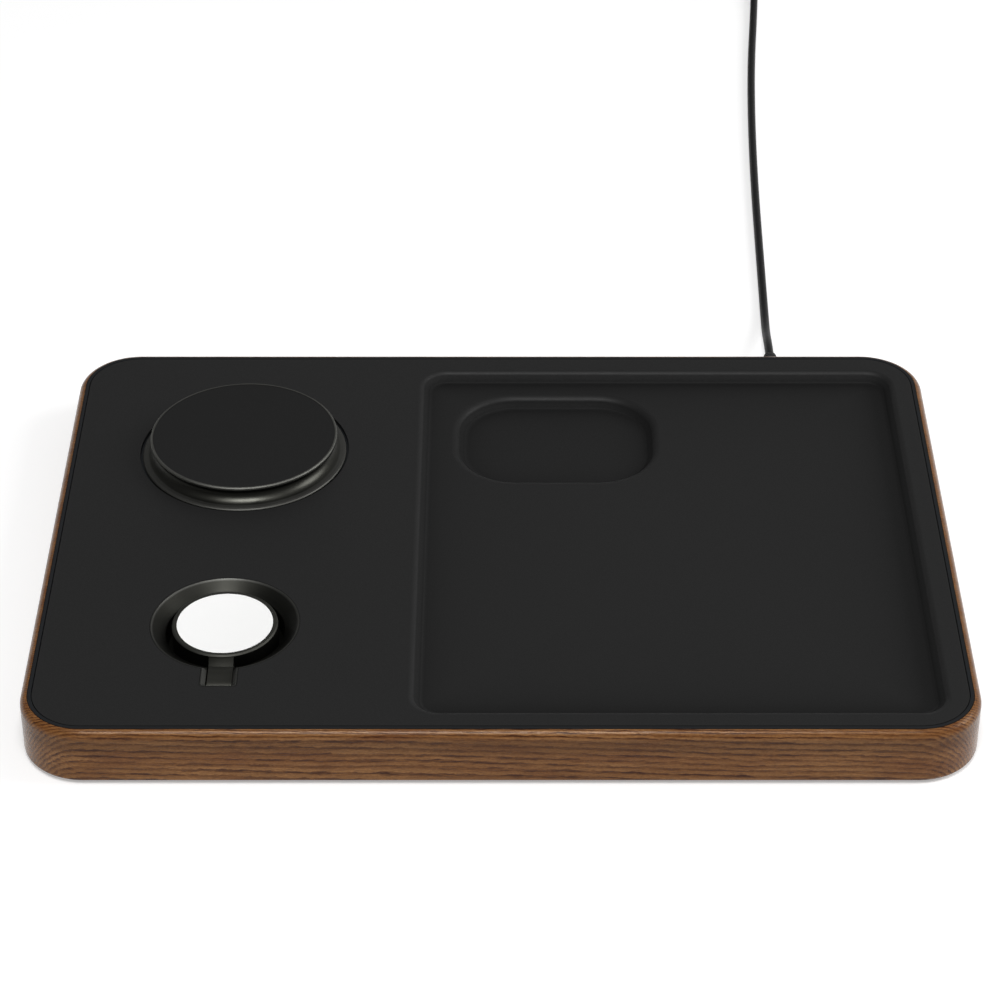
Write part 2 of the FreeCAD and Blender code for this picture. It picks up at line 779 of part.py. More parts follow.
def board_capacitors():
    high = board_top + capacitor_ratio * board_room
    cans = [rod(capacitor_diameter, x, y, board_top, high) for x, y in board_places(capacitor_place_ratios)]
    return Part.makeCompound(cans)


def power_connector():
    corner = V(cord_x - connector_width / 2, connector_back - connector_depth, board_top)
    return Part.makeBox(connector_width, connector_depth, connector_height, corner)


def cylinder_between(diameter, start, end):
    return Part.makeCylinder(diameter / 2, (end - start).Length, start, end - start)


def power_lead():
    return cylinder_between(cord_diameter, V(cord_x, connector_back, cord_z),
                            V(cord_x, back_inside - boot_flange_thick, cord_z))


def turned_along(points, place, axis):
    """Turned piece laid along an axis: (radius, distance) points from its place."""
    solid = turned(points, 0, 0)
    solid.Placement = FreeCAD.Placement(place, FreeCAD.Rotation(up, axis))
    return solid


def cord_boot():
    """Strain relief: a collar behind the frame's wall, a neck through it and a tapered tail."""
    near = -boot_flange_thick
    far = frame_wall + boot_length
    points = [(0, near), (boot_flange / 2, near), (boot_flange / 2, 0), (boot_neck / 2, 0),
              (boot_neck / 2, frame_wall), (boot_collar / 2, frame_wall), (boot_tip / 2, far), (0, far)]
    return turned_along(points, V(cord_x, back_inside, cord_z), V(0, 1, 0))


# Cord route: out of the strain relief, down to the table and back to the coil
table_z = cord_diameter / 2 + floor_gap
coil_low_z = cord_diameter / 2 + floor_gap + tie_thick + tie_gap
coil_pitch = cord_diameter + coil_turn_gap
coil_large = coil_middle / 2 + coil_turns_in * coil_pitch / 2
coil_x = cord_x - coil_aside
coil_y = boot_end + coil_behind
coil_start = V(coil_x + coil_large, coil_y - cord_diameter, coil_low_z)
route_offsets = [(0.0, 0.0, cord_z), (0.0, 9.0, cord_z), (0.5, 23.85, 3.6), (1.2, 40.85, table_z),
                 (2.1, 74.85, table_z), (3.4, 122.85, table_z), (5.4, 170.85, table_z),
                 (8.2, 216.85, table_z), (11.8, 256.85, table_z)]
cord_route = [V(cord_x + x, boot_end + y, z) for x, y, z in route_offsets]
cord_route += [V(coil_start.x, coil_start.y - 17.2, coil_low_z), coil_start]


def cord_tube(route, name):
    """Round tube along straight runs joined by arcs as large as the runs allow."""
    edges = []
    here = route[0]
    radii = []
    for before, corner, after in zip(route, route[1:], route[2:]):
        back = before - corner
        ahead = after - corner
        shorter = min(back.Length, ahead.Length)
        reach = 0.45 * shorter
        half_turn = (math.pi - back.getAngle(ahead)) / 2
        radius = reach / math.tan(half_turn)
        start = corner + back.normalize() * reach
        end = corner + ahead.normalize() * reach
        bisector = (start + end) * 0.5 - corner
        middle = corner + bisector.normalize() * (radius / math.cos(half_turn) - radius)
        edges.append(Part.LineSegment(here, start).toShape())
        edges.append(Part.Arc(start, middle, end).toShape())
        radii.append(round(radius, 1))
        here = end
    edges.append(Part.LineSegment(here, route[-1]).toShape())
    path = Part.Wire(edges)
    section = Part.Wire(Part.Circle(route[0], route[1] - route[0], cord_diameter / 2).toShape())
    solid = path.makePipeShell([section], True, False)
    plain = math.pi * cord_diameter ** 2 / 4 * path.Length
    print(name, "length", round(path.Length, 1), "radii", radii, "volume over section x length",
          round(solid.Volume / plain, 4))
    return solid


def coil_point(turn):
    """Place on the coil's line after so many turns: in to the reversal, then out again one layer up."""
    inward = min(turn, coil_turns_in)
    radius = coil_large - coil_pitch * inward + coil_pitch * max(0.0, turn - coil_turns_in)
    climb = min(1.0, max(0.0, (turn - coil_turns_in + 0.25) / 0.5))
    angle = 2 * math.pi * turn
    z = coil_low_z + coil_pitch * climb
    return V(coil_x + radius * math.cos(angle), coil_y + radius * math.sin(angle), z)


def coil_heading(turn):
    step = 0.002
    return (coil_point(turn + step) - coil_point(turn - step)).normalize()


def biarc(start, out, end, into):
    """Two tangent arcs from start, heading out, to end, heading into."""
    chord = end - start
    both = out + into
    spread = 2 * (1 - out.dot(into))
    reach = (-chord.dot(both) + math.sqrt(chord.dot(both) ** 2 + spread * chord.dot(chord))) / spread
    near = start + out * reach
    far = end - into * reach
    joint = (near + far) * 0.5
    arcs = []
    for a, corner, b in ((start, near, joint), (joint, far, end)):
        middle = (a + b) * 0.5
        half = (b - a).Length / 2
        lean = math.acos(half / (corner - a).Length)
        crest = middle + (corner - middle).normalize() * half * math.tan(lean / 2)
        arcs.append(Part.Arc(a, crest, b).toShape())
    return arcs


coil_turns = coil_turns_in + coil_turns_out
coil_end = coil_point(coil_turns) + V(-cord_diameter, 0, 0)


def cord_coil():
    """Put-away coil in two layers, one unbroken tube."""
    quarters = int(round(coil_turns * 4))
    turns = [k / 4 for k in range(quarters + 1)]
    headings = [V(0, 1, 0)] + [coil_heading(t) for t in turns[1:-1]] + [V(-1, 0, 0)]
    edges = [Part.LineSegment(coil_start, coil_point(0)).toShape()]
    for k in range(quarters):
        edges += biarc(coil_point(turns[k]), headings[k], coil_point(turns[k + 1]), headings[k + 1])
    edges.append(Part.LineSegment(coil_point(coil_turns), coil_end).toShape())
    path = Part.Wire(edges)
    section = Part.Wire(Part.Circle(coil_start, V(0, 1, 0), cord_diameter / 2).toShape())
    solid = path.makePipeShell([section], True, False)
    line = path.discretize(Distance=1.0)
    least = min((a - b).Length for i, a in enumerate(line) for b in line[i + 20:])
    plain = math.pi * cord_diameter ** 2 / 4 * path.Length
    print("coil length", round(path.Length, 1), "least gap to itself", round(least - cord_diameter, 3),
          "volume over section x length", round(solid.Volume / plain, 4))
    return solid


plug_z = plug_height / 2 + floor_gap
tail_route = [coil_end, coil_end + V(-9.0, 0, 0), V(coil_end.x - 19.0, coil_end.y, plug_z),
              V(coil_end.x - 28.0, coil_end.y, plug_z)]
plug_start = tail_route[-1]


def cord_tie():
    """Strap round the coil's winding, on the side away from where the cord comes in."""
    small = coil_large - coil_pitch * coil_turns_in
    bore_half = math.sqrt((small - cord_diameter / 2) ** 2 - (tie_width / 2) ** 2)
    inner = bore_half - tie_gap
    outer = coil_large + cord_diameter / 2 + tie_gap
    low = coil_low_z - cord_diameter / 2 - tie_gap
    high = coil_low_z + coil_pitch + cord_diameter / 2 + tie_gap
    middle_x = coil_x - (inner + outer) / 2
    middle_z = (low + high) / 2

    def band(grow, depth):
        round_size = min(high - low, outer - inner) / 4 + grow
        width = outer - inner + 2 * grow
        height = high - low + 2 * grow
        block = slab(width, height, round_size, 0, 0, -depth / 2, depth / 2)
        block.rotate(V(0, 0, 0), V(1, 0, 0), 90)
        block.translate(V(middle_x, coil_y, middle_z))
        return block

    return band(tie_thick, tie_width).cut(band(0, 2 * tie_width))


def plug_boot():
    points = [(0, 0), (boot_tip / 2, 0), (plug_boot_large / 2, plug_boot_length), (0, plug_boot_length)]
    return turned_along(points, plug_start, V(-1, 0, 0))


def plug_block(width, height, corner, start, end):
    """Rounded bar along -X from the plug's near end, between two distances."""
    bar = slab(width, height, corner, 0, 0, start, end)
    turn = FreeCAD.Rotation(V(0, 1, 0), V(0, 0, 1), V(-1, 0, 0), "ZXY")
    bar.Placement = FreeCAD.Placement(plug_start, turn)
    return bar


def plug_body():
    near = plug_boot_length
    body = plug_block(plug_width, plug_height, plug_round, near, near + plug_length)
    ends = [e for e in body.Edges if e.BoundBox.XLength < 1e-4]
    return body.makeFillet(plug_round / 2, ends)


def plug_shell():
    start = plug_boot_length + plug_length
    wall = plug_shell_wall
    outside = plug_block(plug_shell_width, plug_shell_height, plug_shell_height / 2 - wall / 4, start,
                         start + plug_shell_length)
    inside = plug_block(plug_shell_width - 2 * wall, plug_shell_height - 2 * wall,
                        plug_shell_height / 2 - 1.25 * wall, start + wall, start + plug_shell_length)
    return outside.cut(inside)


def build():
    nodes = {
        "wood_frame": wood_frame(),
        "deck": deck(),
        "top_pad": top_pad(),
        "base_plate": base_plate(),
        "weight_plate": weight_plate(),
        "phone_pedestal": phone_pedestal(),
        "phone_face": phone_face(),
        "phone_shield": phone_shield(),
        "phone_coil": phone_coil(),
        "phone_magnets": phone_magnets(),
        "phone_board": phone_board(),
        "phone_nut": phone_nut(),
        "watch_dish": watch_dish(),
        "watch_pin": watch_pin(),
        "watch_cup": watch_cup(),
        "watch_face": watch_face(),
        "watch_core": watch_core(),
        "watch_coil": watch_coil(),
        "watch_magnet": watch_magnet(),
        "bud_coil": bud_coil(),
        "bud_shield": bud_shield(),
        "main_board": main_board(),
        "board_inductors": board_blocks(inductor_size, inductor_ratio, inductor_place_ratios),
        "board_chips": board_blocks(chip_size, chip_ratio, chip_place_ratios),
        "board_capacitors": board_capacitors(),
        "power_connector": power_connector(),
        "power_lead": power_lead(),
        "base_screws": screw_group(base_screw, base_screw_places, stand_gap, 1),
        "board_screws": screw_group(board_screw, post_places, board_screw_seat, -1),
        "dish_screws": screw_group(dish_screw, dish_screw_places, dish_screw_seat, 1),
        "cord_boot": cord_boot(),
        "cord_run": cord_tube(cord_route, "cord run"),
        "cord_coil": cord_coil(),
        "cord_end": cord_tube(tail_route, "cord end"),
        "cord_tie": cord_tie(),
        "plug_boot": plug_boot(),
        "plug_body": plug_body(),
        "plug_shell": plug_shell(),
    }
    for name, (x, y) in zip(foot_names, foot_places):
        nodes[name] = foot(x, y)
    os.makedirs("parts", exist_ok=True)
    for name, shape in nodes.items():
        shape.exportStep("parts/%s.step" % name)
        box = shape.optimalBoundingBox()
        print("%-18s solids %d valid %s volume %.1f  x %.2f %.2f  y %.2f %.2f  z %.2f %.2f" % (
            name, len(shape.Solids), shape.isValid(), shape.Volume,
            box.XMin, box.XMax, box.YMin, box.YMax, box.ZMin, box.ZMax))


build()
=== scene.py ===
import math
import bpy
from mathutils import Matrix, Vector


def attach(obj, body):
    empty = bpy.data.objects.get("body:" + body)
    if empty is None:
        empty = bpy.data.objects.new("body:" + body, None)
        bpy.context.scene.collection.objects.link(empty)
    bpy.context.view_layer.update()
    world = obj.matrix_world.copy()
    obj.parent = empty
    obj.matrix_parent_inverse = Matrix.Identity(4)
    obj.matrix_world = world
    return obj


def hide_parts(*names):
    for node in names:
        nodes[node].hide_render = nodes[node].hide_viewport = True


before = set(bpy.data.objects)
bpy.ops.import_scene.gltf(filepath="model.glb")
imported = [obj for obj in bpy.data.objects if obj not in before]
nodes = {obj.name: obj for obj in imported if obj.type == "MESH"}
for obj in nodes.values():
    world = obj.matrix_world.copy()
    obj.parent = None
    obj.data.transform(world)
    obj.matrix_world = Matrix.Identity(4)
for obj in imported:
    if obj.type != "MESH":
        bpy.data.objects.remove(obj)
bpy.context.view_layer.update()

scene = bpy.context.scene
scene.view_settings.view_transform = "Standard"
print("frame loaded:", len(nodes), "nodes")


# Camera
viewpoint = {
    "place": (-0.00019, -0.74741, 0.5645),
    "tilt": 54.343,           # degrees from straight down
    "lens": 113.15,           # mm
    "sensor": 36,             # mm across
    "nearest": 0.05,          # m, where the view begins
}

bpy.ops.object.select_all(action="DESELECT")
bpy.ops.object.camera_add(location=viewpoint["place"], rotation=(math.radians(viewpoint["tilt"]), 0, 0))
camera = bpy.context.object
camera.name = "view"
camera.data.lens = viewpoint["lens"]
camera.data.sensor_width = viewpoint["sensor"]
camera.data.clip_start = viewpoint["nearest"]
scene.camera = camera
print("camera set")


# Shader helpers
def toLinear(r, g, b):
    # screen colour 0-255 to the value a shader takes
    parts = [c / 255 for c in (r, g, b)]
    return tuple(((c + 0.055) / 1.055) ** 2.4 if c > 0.04 else c / 12.92 for c in parts) + (1.0,)


def feed(tree, socket, value):
    if isinstance(value, bpy.types.NodeSocket):
        tree.links.new(value, socket)
    else:
        socket.default_value = value


def calc(tree, operation, *values):
    made = tree.nodes.new("ShaderNodeMath")
    made.operation = operation
    for slot, value in enumerate(values):
        feed(tree, made.inputs[slot], value)
    return made.outputs[0]


def vectorCalc(tree, operation, a, b=None, scale=None):
    made = tree.nodes.new("ShaderNodeVectorMath")
    made.operation = operation
    feed(tree, made.inputs[0], a)
    if b is not None:
        feed(tree, made.inputs[1], b)
    if scale is not None:
        feed(tree, made.inputs["Scale"], scale)
    return made.outputs["Value" if operation in ("LENGTH", "DOT_PRODUCT") else "Vector"]


def axes(tree, vector):
    made = tree.nodes.new("ShaderNodeSeparateXYZ")
    feed(tree, made.inputs[0], vector)
    return made.outputs


def joined(tree, x, y):
    made = tree.nodes.new("ShaderNodeCombineXYZ")
    feed(tree, made.inputs["X"], x)
    feed(tree, made.inputs["Y"], y)
    return made.outputs[0]


def noise(tree, vector, scale, detail, roughness):
    made = tree.nodes.new("ShaderNodeTexNoise")
    made.noise_type = "FBM"
    for name, value in (("Vector", vector), ("Scale", scale), ("Detail", detail), ("Roughness", roughness)):
        feed(tree, made.inputs[name], value)
    return made.outputs["Fac"]


def cells(tree, vector, scale):
    made = tree.nodes.new("ShaderNodeTexVoronoi")
    made.feature = "F1"
    feed(tree, made.inputs["Vector"], vector)
    feed(tree, made.inputs["Scale"], scale)
    return made.outputs["Distance"]


def fade(tree, value, low, high, start=0.0, end=1.0):
    made = tree.nodes.new("ShaderNodeMapRange")
    made.interpolation_type = "SMOOTHSTEP"
    for name, item in (("Value", value), ("From Min", low), ("From Max", high), ("To Min", start), ("To Max", end)):
        feed(tree, made.inputs[name], item)
    return made.outputs["Result"]


def between(tree, value, rise, fall, top=1.0):
    # climbs over one range and drops to nothing over the next
    return calc(tree, "MULTIPLY", fade(tree, value, *rise), fade(tree, value, *fall, top, 0.0))


def weighted(tree, a, shareA, b, shareB):
    return calc(tree, "ADD", calc(tree, "MULTIPLY", a, shareA), calc(tree, "MULTIPLY", b, shareB))


def around(level, reach):
    return [level + part for part in reach]


def blendColour(tree, amount, a, b, mode="MIX"):
    made = tree.nodes.new("ShaderNodeMix")
    made.data_type = "RGBA"
    made.blend_type = mode
    feed(tree, made.inputs[0], amount)
    feed(tree, made.inputs[6], a)
    feed(tree, made.inputs[7], b)
    return made.outputs[2]


def tint(tree, tone, colour, mask, share):
    return blendColour(tree, calc(tree, "MULTIPLY", mask, share), tone, colour)


def bump(tree, height, depth, strength):
    # depth in metres for a height of one
    made = tree.nodes.new("ShaderNodeBump")
    feed(tree, made.inputs["Height"], height)
    made.inputs["Distance"].default_value = depth
    made.inputs["Strength"].default_value = strength
    return made.outputs["Normal"]


def startGroup(name, takes, gives):
    tree = bpy.data.node_groups.new(name, "ShaderNodeTree")
    for label, kind, value in takes:
        socket = tree.interface.new_socket(label, in_out="INPUT", socket_type="NodeSocket" + kind)
        socket.default_value = value
    for label in gives:
        tree.interface.new_socket(label, in_out="OUTPUT", socket_type="NodeSocketFloat")
    return tree, tree.nodes.new("NodeGroupInput").outputs, tree.nodes.new("NodeGroupOutput").inputs


def useGroup(tree, group, **values):
    made = tree.nodes.new("ShaderNodeGroup")
    made.node_tree = group
    for name, value in values.items():
        feed(tree, made.inputs[name], value)
    return made.outputs


def startMaterial(name, **constants):
    made = bpy.data.materials.new(name)
    made.use_nodes = True
    tree = made.node_tree
    shader = tree.nodes["Principled BSDF"]
    for label, value in constants.items():
        shader.inputs[label.replace("_", " ")].default_value = value
    where = tree.nodes.new("ShaderNodeTexCoord").outputs["Object"]
    return made, tree, shader.inputs, vectorCalc(tree, "SCALE", where, scale=1000.0)   # in millimetres


# Effects that several finishes share
mould = {
    "swell": (0.45, 3.0, 0.6),      # frequency beside that of the pebbles, detail, roughness
    "pebble": (0.1, 0.75),          # distance from its middle over which a pebble falls off
    "shares": (0.6, 0.6),           # of pebbles and swell in the height
    "tone": (0.25, 0.95),           # heights over which the tone changes
}


def makeMouldedSkin():
    # spark-eroded mould texture: fine pebbles over a softer swell
    tree, takes, gives = startGroup("mouldedSkin", [("Vector", "Vector", (0, 0, 0)), ("Pebble", "Float", 0.4)],
                                    ["Height", "Tone"])
    size = calc(tree, "DIVIDE", 1.0, takes["Pebble"])
    pebbles = fade(tree, cells(tree, takes["Vector"], size), *mould["pebble"], 1.0, 0.0)
    frequency, detail, roughness = mould["swell"]
    swell = noise(tree, takes["Vector"], calc(tree, "MULTIPLY", size, frequency), detail, roughness)
    pebbleShare, swellShare = mould["shares"]
    height = weighted(tree, pebbles, pebbleShare, swell, swellShare)
    tree.links.new(height, gives["Height"])
    tree.links.new(fade(tree, height, *mould["tone"]), gives["Tone"])
    return tree


touch = {
    "clouds": (5.0, 0.6),           # detail, roughness
    "cloudEdge": (0.3, 0.7),        # noise levels over which a mark comes in
    "dust": (2.6, 1.0, 0.4),        # frequency per mm, detail, roughness
    "dustEdge": (0.72, 0.82),
}


def makeHandling():
    # broad cloudy marks that hands and cloths leave, and a finer scatter of dust
    tree, takes, gives = startGroup("handling", [("Vector", "Vector", (0, 0, 0)), ("Size", "Float", 30.0)],
                                    ["Clouds", "Dust"])
    clouds = noise(tree, takes["Vector"], calc(tree, "DIVIDE", 1.0, takes["Size"]), *touch["clouds"])
    dust = noise(tree, takes["Vector"], *touch["dust"])
    tree.links.new(fade(tree, clouds, *touch["cloudEdge"]), gives["Clouds"])
    tree.links.new(fade(tree, dust, *touch["dustEdge"]), gives["Dust"])
    return tree


lathe = {
    # frequency per pitch, detail, roughness
    "ridges": (0.55, 2.0, 0.6),
    "streaks": (0.07, 3.0, 0.7),
}


def makeTurning():
    # lathe marks about an upright axis
    tree, takes, gives = startGroup("turning", [("Vector", "Vector", (0, 0, 0)), ("Centre", "Vector", (0, 0, 0)),
                                                ("Pitch", "Float", 0.12)], ["Height", "Streak", "Radius"])
    arm = axes(tree, vectorCalc(tree, "SUBTRACT", takes["Vector"], takes["Centre"]))
    radius = vectorCalc(tree, "LENGTH", joined(tree, arm["X"], arm["Y"]))
    steps = joined(tree, *[calc(tree, "DIVIDE", part, takes["Pitch"]) for part in (radius, arm["Z"])])
    tree.links.new(noise(tree, steps, *lathe["ridges"]), gives["Height"])
    tree.links.new(noise(tree, steps, *lathe["streaks"]), gives["Streak"])
    tree.links.new(radius, gives["Radius"])
    return tree


def makeWithin():
    # distance inwards from a rounded rectangle, seen from above
    tree, takes, gives = startGroup("within", [("Vector", "Vector", (0, 0, 0)), ("Centre", "Vector", (0, 0, 0)),
                                               ("Half", "Vector", (1, 1, 0)), ("Corner", "Float", 1.0)], ["Inside"])
    arm = vectorCalc(tree, "ABSOLUTE", vectorCalc(tree, "SUBTRACT", takes["Vector"], takes["Centre"]))
    past = axes(tree, vectorCalc(tree, "SUBTRACT", arm, takes["Half"]))
    x, y = [calc(tree, "ADD", past[axis], takes["Corner"]) for axis in ("X", "Y")]
    square = [calc(tree, "POWER", calc(tree, "MAXIMUM", part, 0.0), 2.0) for part in (x, y)]
    outer = calc(tree, "SQRT", calc(tree, "ADD", *square))
    inner = calc(tree, "MINIMUM", calc(tree, "MAXIMUM", x, y), 0.0)
    tree.links.new(calc(tree, "SUBTRACT", takes["Corner"], calc(tree, "ADD", outer, inner)), gives["Inside"])
    return tree


mouldedSkin = makeMouldedSkin()
handling = makeHandling()
turning = makeTurning()
within = makeWithin()
print("shared effects made")


# Walnut frame
walnut = {
    "base": toLinear(143, 99, 57),
    "pale": toLinear(159, 114, 70),
    "red": toLinear(117, 73, 40),
    "dark": toLinear(52, 19, 5),
    "surface": {"Specular_IOR_Level": 0.19, "Specular_Tint": (1.0, 0.8, 0.62, 1.0),
                "Coat_Weight": 0.1, "Coat_Roughness": 0.3},
    "ring": 0.86,                   # mm between growth lines, square to them
    "lean": (0.012, 0.91, 0.41),    # direction across the growth lines
    "layers": {
        # frequency along and across the grain, detail, roughness
        "sway": (0.012, 0.06, 2.0, 0.5),
        "jag": (0.2, 0.7, 3.0, 0.65),
        "dashes": (0.13, 1.2, 3.0, 0.65),
        "years": (0.02, 0.6, 2.0, 0.5),
        "fibre": (0.16, 4.5, 3.0, 0.6),
        "fleck": (1.0, 2.6, 2.0, 0.6),
        "pores": (0.3, 5.5, 1.0, 0.4),
        "paleBands": (0.02, 0.3, 3.0, 0.5),
        "redBands": (0.03, 0.14, 2.0, 0.5),
    },
    "swayReach": 1.6,               # mm that the growth lines wander
    "jagReach": 0.9,                # mm of raggedness on them
    # share of a ring over which its dark line, and the red beside it, comes and goes
    "line": ((0.34, 0.72), (0.82, 1.0)),
    "halo": ((0.1, 0.7), (0.86, 1.0), 0.55),
    "levels": {
        # noise levels over which a layer changes, and its strength below and above them
        "dashes": (0.38, 0.6, 0.0, 1.0),
        "years": (0.34, 0.62, 0.5, 1.0),
        "pores": (0.62, 0.72, 0.0, 1.0),
        "paleBands": (0.36, 0.66, 0.0, 1.0),
        "redBands": (0.5, 0.72, 0.0, 0.7),
        "fibre": (0.35, 0.75, 0.34, 0.0),
        "fleck": (0.3, 0.72, 0.3, 0.0),
    },
    "faintest": 0.2,                # what is left of a line between its dashes
    "poreShare": 0.4,
    # heights in mm over which painted shade darkens the tone below the rounded edge and fades again, and the share
    # lost
    "paintedEdgeShade": ((9.0, 13.0), (15.3, 16.5), 0.25),
    "rough": (0.0, 1.2, 0.2, 0.36),   # depth of lines and pores, roughness between and in them
    "fibreRelief": 0.5,
    "relief": (0.00005, 0.7),       # depth in m, strength
}


def makeWalnut():
    made, tree, shader, place = startMaterial("walnut", **walnut["surface"])

    def layer(name):
        along, across, detail, roughness = walnut["layers"][name]
        return noise(tree, vectorCalc(tree, "MULTIPLY", place, (along, across, across)), 1.0, detail, roughness)

    def layerFade(name):
        return fade(tree, layer(name), *walnut["levels"][name])

    def wander(name, reach):
        return calc(tree, "MULTIPLY", calc(tree, "SUBTRACT", layer(name), 0.5), reach)

    shift = calc(tree, "ADD", wander("sway", walnut["swayReach"]), wander("jag", walnut["jagReach"]))
    across = vectorCalc(tree, "DOT_PRODUCT", place, walnut["lean"])
    step = calc(tree, "FRACT", calc(tree, "DIVIDE", calc(tree, "ADD", across, shift), walnut["ring"]))
    line = between(tree, step, *walnut["line"])
    halo = between(tree, step, *walnut["halo"])
    broken = fade(tree, layerFade("dashes"), 0.0, 1.0, walnut["faintest"], 1.0)
    line = calc(tree, "MULTIPLY", line, calc(tree, "MULTIPLY", layerFade("years"), broken))
    fibre = layer("fibre")
    pores = layerFade("pores")
    tone = blendColour(tree, layerFade("paleBands"), walnut["base"], walnut["pale"])
    tone = blendColour(tree, layerFade("redBands"), tone, walnut["red"])
    tone = blendColour(tree, halo, tone, walnut["red"])
    tone = blendColour(tree, fade(tree, fibre, *walnut["levels"]["fibre"]), tone, walnut["dark"])
    tone = blendColour(tree, layerFade("fleck"), tone, walnut["dark"])
    tone = blendColour(tree, line, tone, walnut["dark"])
    tone = tint(tree, tone, walnut["dark"], pores, walnut["poreShare"])
    # painted shade in a band below the rounded top edge
    paintedEdgeShade = between(tree, axes(tree, place)["Z"], *walnut["paintedEdgeShade"])
    tone = blendColour(tree, 1.0, tone, calc(tree, "SUBTRACT", 1.0, paintedEdgeShade), "MULTIPLY")
    tree.links.new(tone, shader["Base Color"])
    sunk = calc(tree, "ADD", line, pores)
    tree.links.new(fade(tree, sunk, *walnut["rough"]), shader["Roughness"])
    height = calc(tree, "SUBTRACT", calc(tree, "MULTIPLY", fibre, walnut["fibreRelief"]), sunk)
    tree.links.new(bump(tree, height, *walnut["relief"]), shader["Normal"])
    return made


# Matt black deck, phone face and other moulded skins
skins = {
    # name: colour, lighter tone, pebble size mm, relief m, roughness low and high, specular level
    "deckSatin": (toLinear(20, 22, 24), toLinear(24, 26, 29), 0.22, 0.00001, (0.45, 0.55), 0.26),
    "phoneSoft": (toLinear(25, 25, 25), toLinear(29, 29, 29), 0.18, 0.00001, (0.7, 0.82), 0.17),
    "baseBlack": (toLinear(22, 22, 23), toLinear(29, 29, 30), 0.5, 0.00004, (0.55, 0.75), 0.3),
    "footRubber": (toLinear(18, 18, 18), toLinear(27, 27, 27), 0.35, 0.00003, (0.75, 0.92), 0.21),
    "cordSheath": (toLinear(10, 10, 11), toLinear(15, 15, 16), 0.3, 0.00002, (0.42, 0.6), 0.3),
    "plugBlack": (toLinear(17, 17, 18), toLinear(23, 23, 24), 0.3, 0.00003, (0.45, 0.62), 0.34),
}
skinLook = {
    "markSize": 42.0,               # mm
    "toneShare": 0.6,
    "cloudShare": 0.1,
    "dust": toLinear(90, 88, 84),
    "dustShare": 0.05,
    "wear": (0.2, 0.8),             # shares of marks and pebbles in the polish
    "bump": 0.8,
}


def polish(tree, skin, marks):
    cloudShare, pebbleShare = skinLook["wear"]
    return weighted(tree, marks["Clouds"], cloudShare, skin["Tone"], pebbleShare)


def makeSkin(name):
    colour, pale, pebble, relief, rough, specular = skins[name]
    made, tree, shader, place = startMaterial(name, Specular_IOR_Level=specular)
    skin = useGroup(tree, mouldedSkin, Vector=place, Pebble=pebble)
    marks = useGroup(tree, handling, Vector=place, Size=skinLook["markSize"])
    tone = tint(tree, colour, pale, skin["Tone"], skinLook["toneShare"])
    tone = tint(tree, tone, pale, marks["Clouds"], skinLook["cloudShare"])
    tone = tint(tree, tone, skinLook["dust"], marks["Dust"], skinLook["dustShare"])
    tree.links.new(tone, shader["Base Color"])
    tree.links.new(fade(tree, polish(tree, skin, marks), 0.0, 1.0, rough[1], rough[0]), shader["Roughness"])
    tree.links.new(bump(tree, skin["Height"], relief, skinLook["bump"]), shader["Normal"])
    return made


# Matt pad: painted shade deepens its tone towards the foot of the recess walls
pad = {
    "colour": toLinear(29, 29, 29),
    "pale": toLinear(33, 33, 33),
    "specular": 0.22,
    "pebble": 0.32,                 # mm
    "relief": 0.000012,             # m
    "rough": (0.54, 0.46),          # unpolished and polished
    # mm above a recess's floor: where its painted shade ends, and where the foot of the wall begins and ends
    "floorEnd": (0.1, 1.3),
    "wallRise": (0.1, 0.4),
    "wallFall": (1.6, 2.2),
    "wallShadedTone": 0.72,               # what is left of the tone under painted shade on that foot
    "wallRough": 0.28,              # roughness added there
    "recesses": [
        # centre, half size, corner and floor height in mm,
        # then the share of tone lost to painted shade near the walls and its reach, and the share lost further out
        # and its reach
        ((46.6, -0.8, 0.0), (70.4, 81.2, 0.0), 5.0, 15.5, 0.48, 5.0, 0.14, 35.0),
        ((17.0, 50.5, 0.0), (27.0, 19.6, 0.0), 15.0, 12.5, 0.3, 4.0, 0.14, 60.0),
    ],
}


def makePad():
    made, tree, shader, place = startMaterial("padMatt", Specular_IOR_Level=pad["specular"])
    skin = useGroup(tree, mouldedSkin, Vector=place, Pebble=pad["pebble"])
    marks = useGroup(tree, handling, Vector=place, Size=skinLook["markSize"])
    height = axes(tree, place)["Z"]
    leftUnshaded = 1.0
    sides = 0.0
    for centre, half, corner, level, near, nearReach, far, farReach in pad["recesses"]:
        inside = useGroup(tree, within, Vector=place, Centre=centre, Half=half, Corner=corner)["Inside"]
        depth = calc(tree, "MAXIMUM", inside, 0.0)
        nearPart, farPart = [calc(tree, "EXPONENT", calc(tree, "DIVIDE", depth, -reach))
                             for reach in (nearReach, farReach)]
        # painted shade: the recess floor darkens towards its walls
        paintedRecessShade = weighted(tree, nearPart, near, farPart, far)
        low = fade(tree, height, *around(level, pad["floorEnd"]), 1.0, 0.0)
        leftUnshaded = calc(tree, "MULTIPLY", leftUnshaded, calc(tree, "SUBTRACT", 1.0, calc(tree, "MULTIPLY", low, paintedRecessShade)))
        wall = between(tree, height, around(level, pad["wallRise"]), around(level, pad["wallFall"]))
        sides = calc(tree, "ADD", sides, wall)
    # painted shade on the foot of the recess walls
    leftUnshaded = calc(tree, "MULTIPLY", leftUnshaded, fade(tree, sides, 0.0, 1.0, 1.0, pad["wallShadedTone"]))
    tone = tint(tree, pad["colour"], pad["pale"], skin["Tone"], skinLook["toneShare"])
    tone = tint(tree, tone, skinLook["dust"], marks["Dust"], skinLook["dustShare"])
    tree.links.new(blendColour(tree, 1.0, tone, leftUnshaded, "MULTIPLY"), shader["Base Color"])
    matt = fade(tree, polish(tree, skin, marks), 0.0, 1.0, *pad["rough"])
    matt = calc(tree, "ADD", matt, calc(tree, "MULTIPLY", sides, pad["wallRough"]))
    tree.links.new(matt, shader["Roughness"])
    tree.links.new(bump(tree, skin["Height"], pad["relief"], skinLook["bump"]), shader["Normal"])
    return made
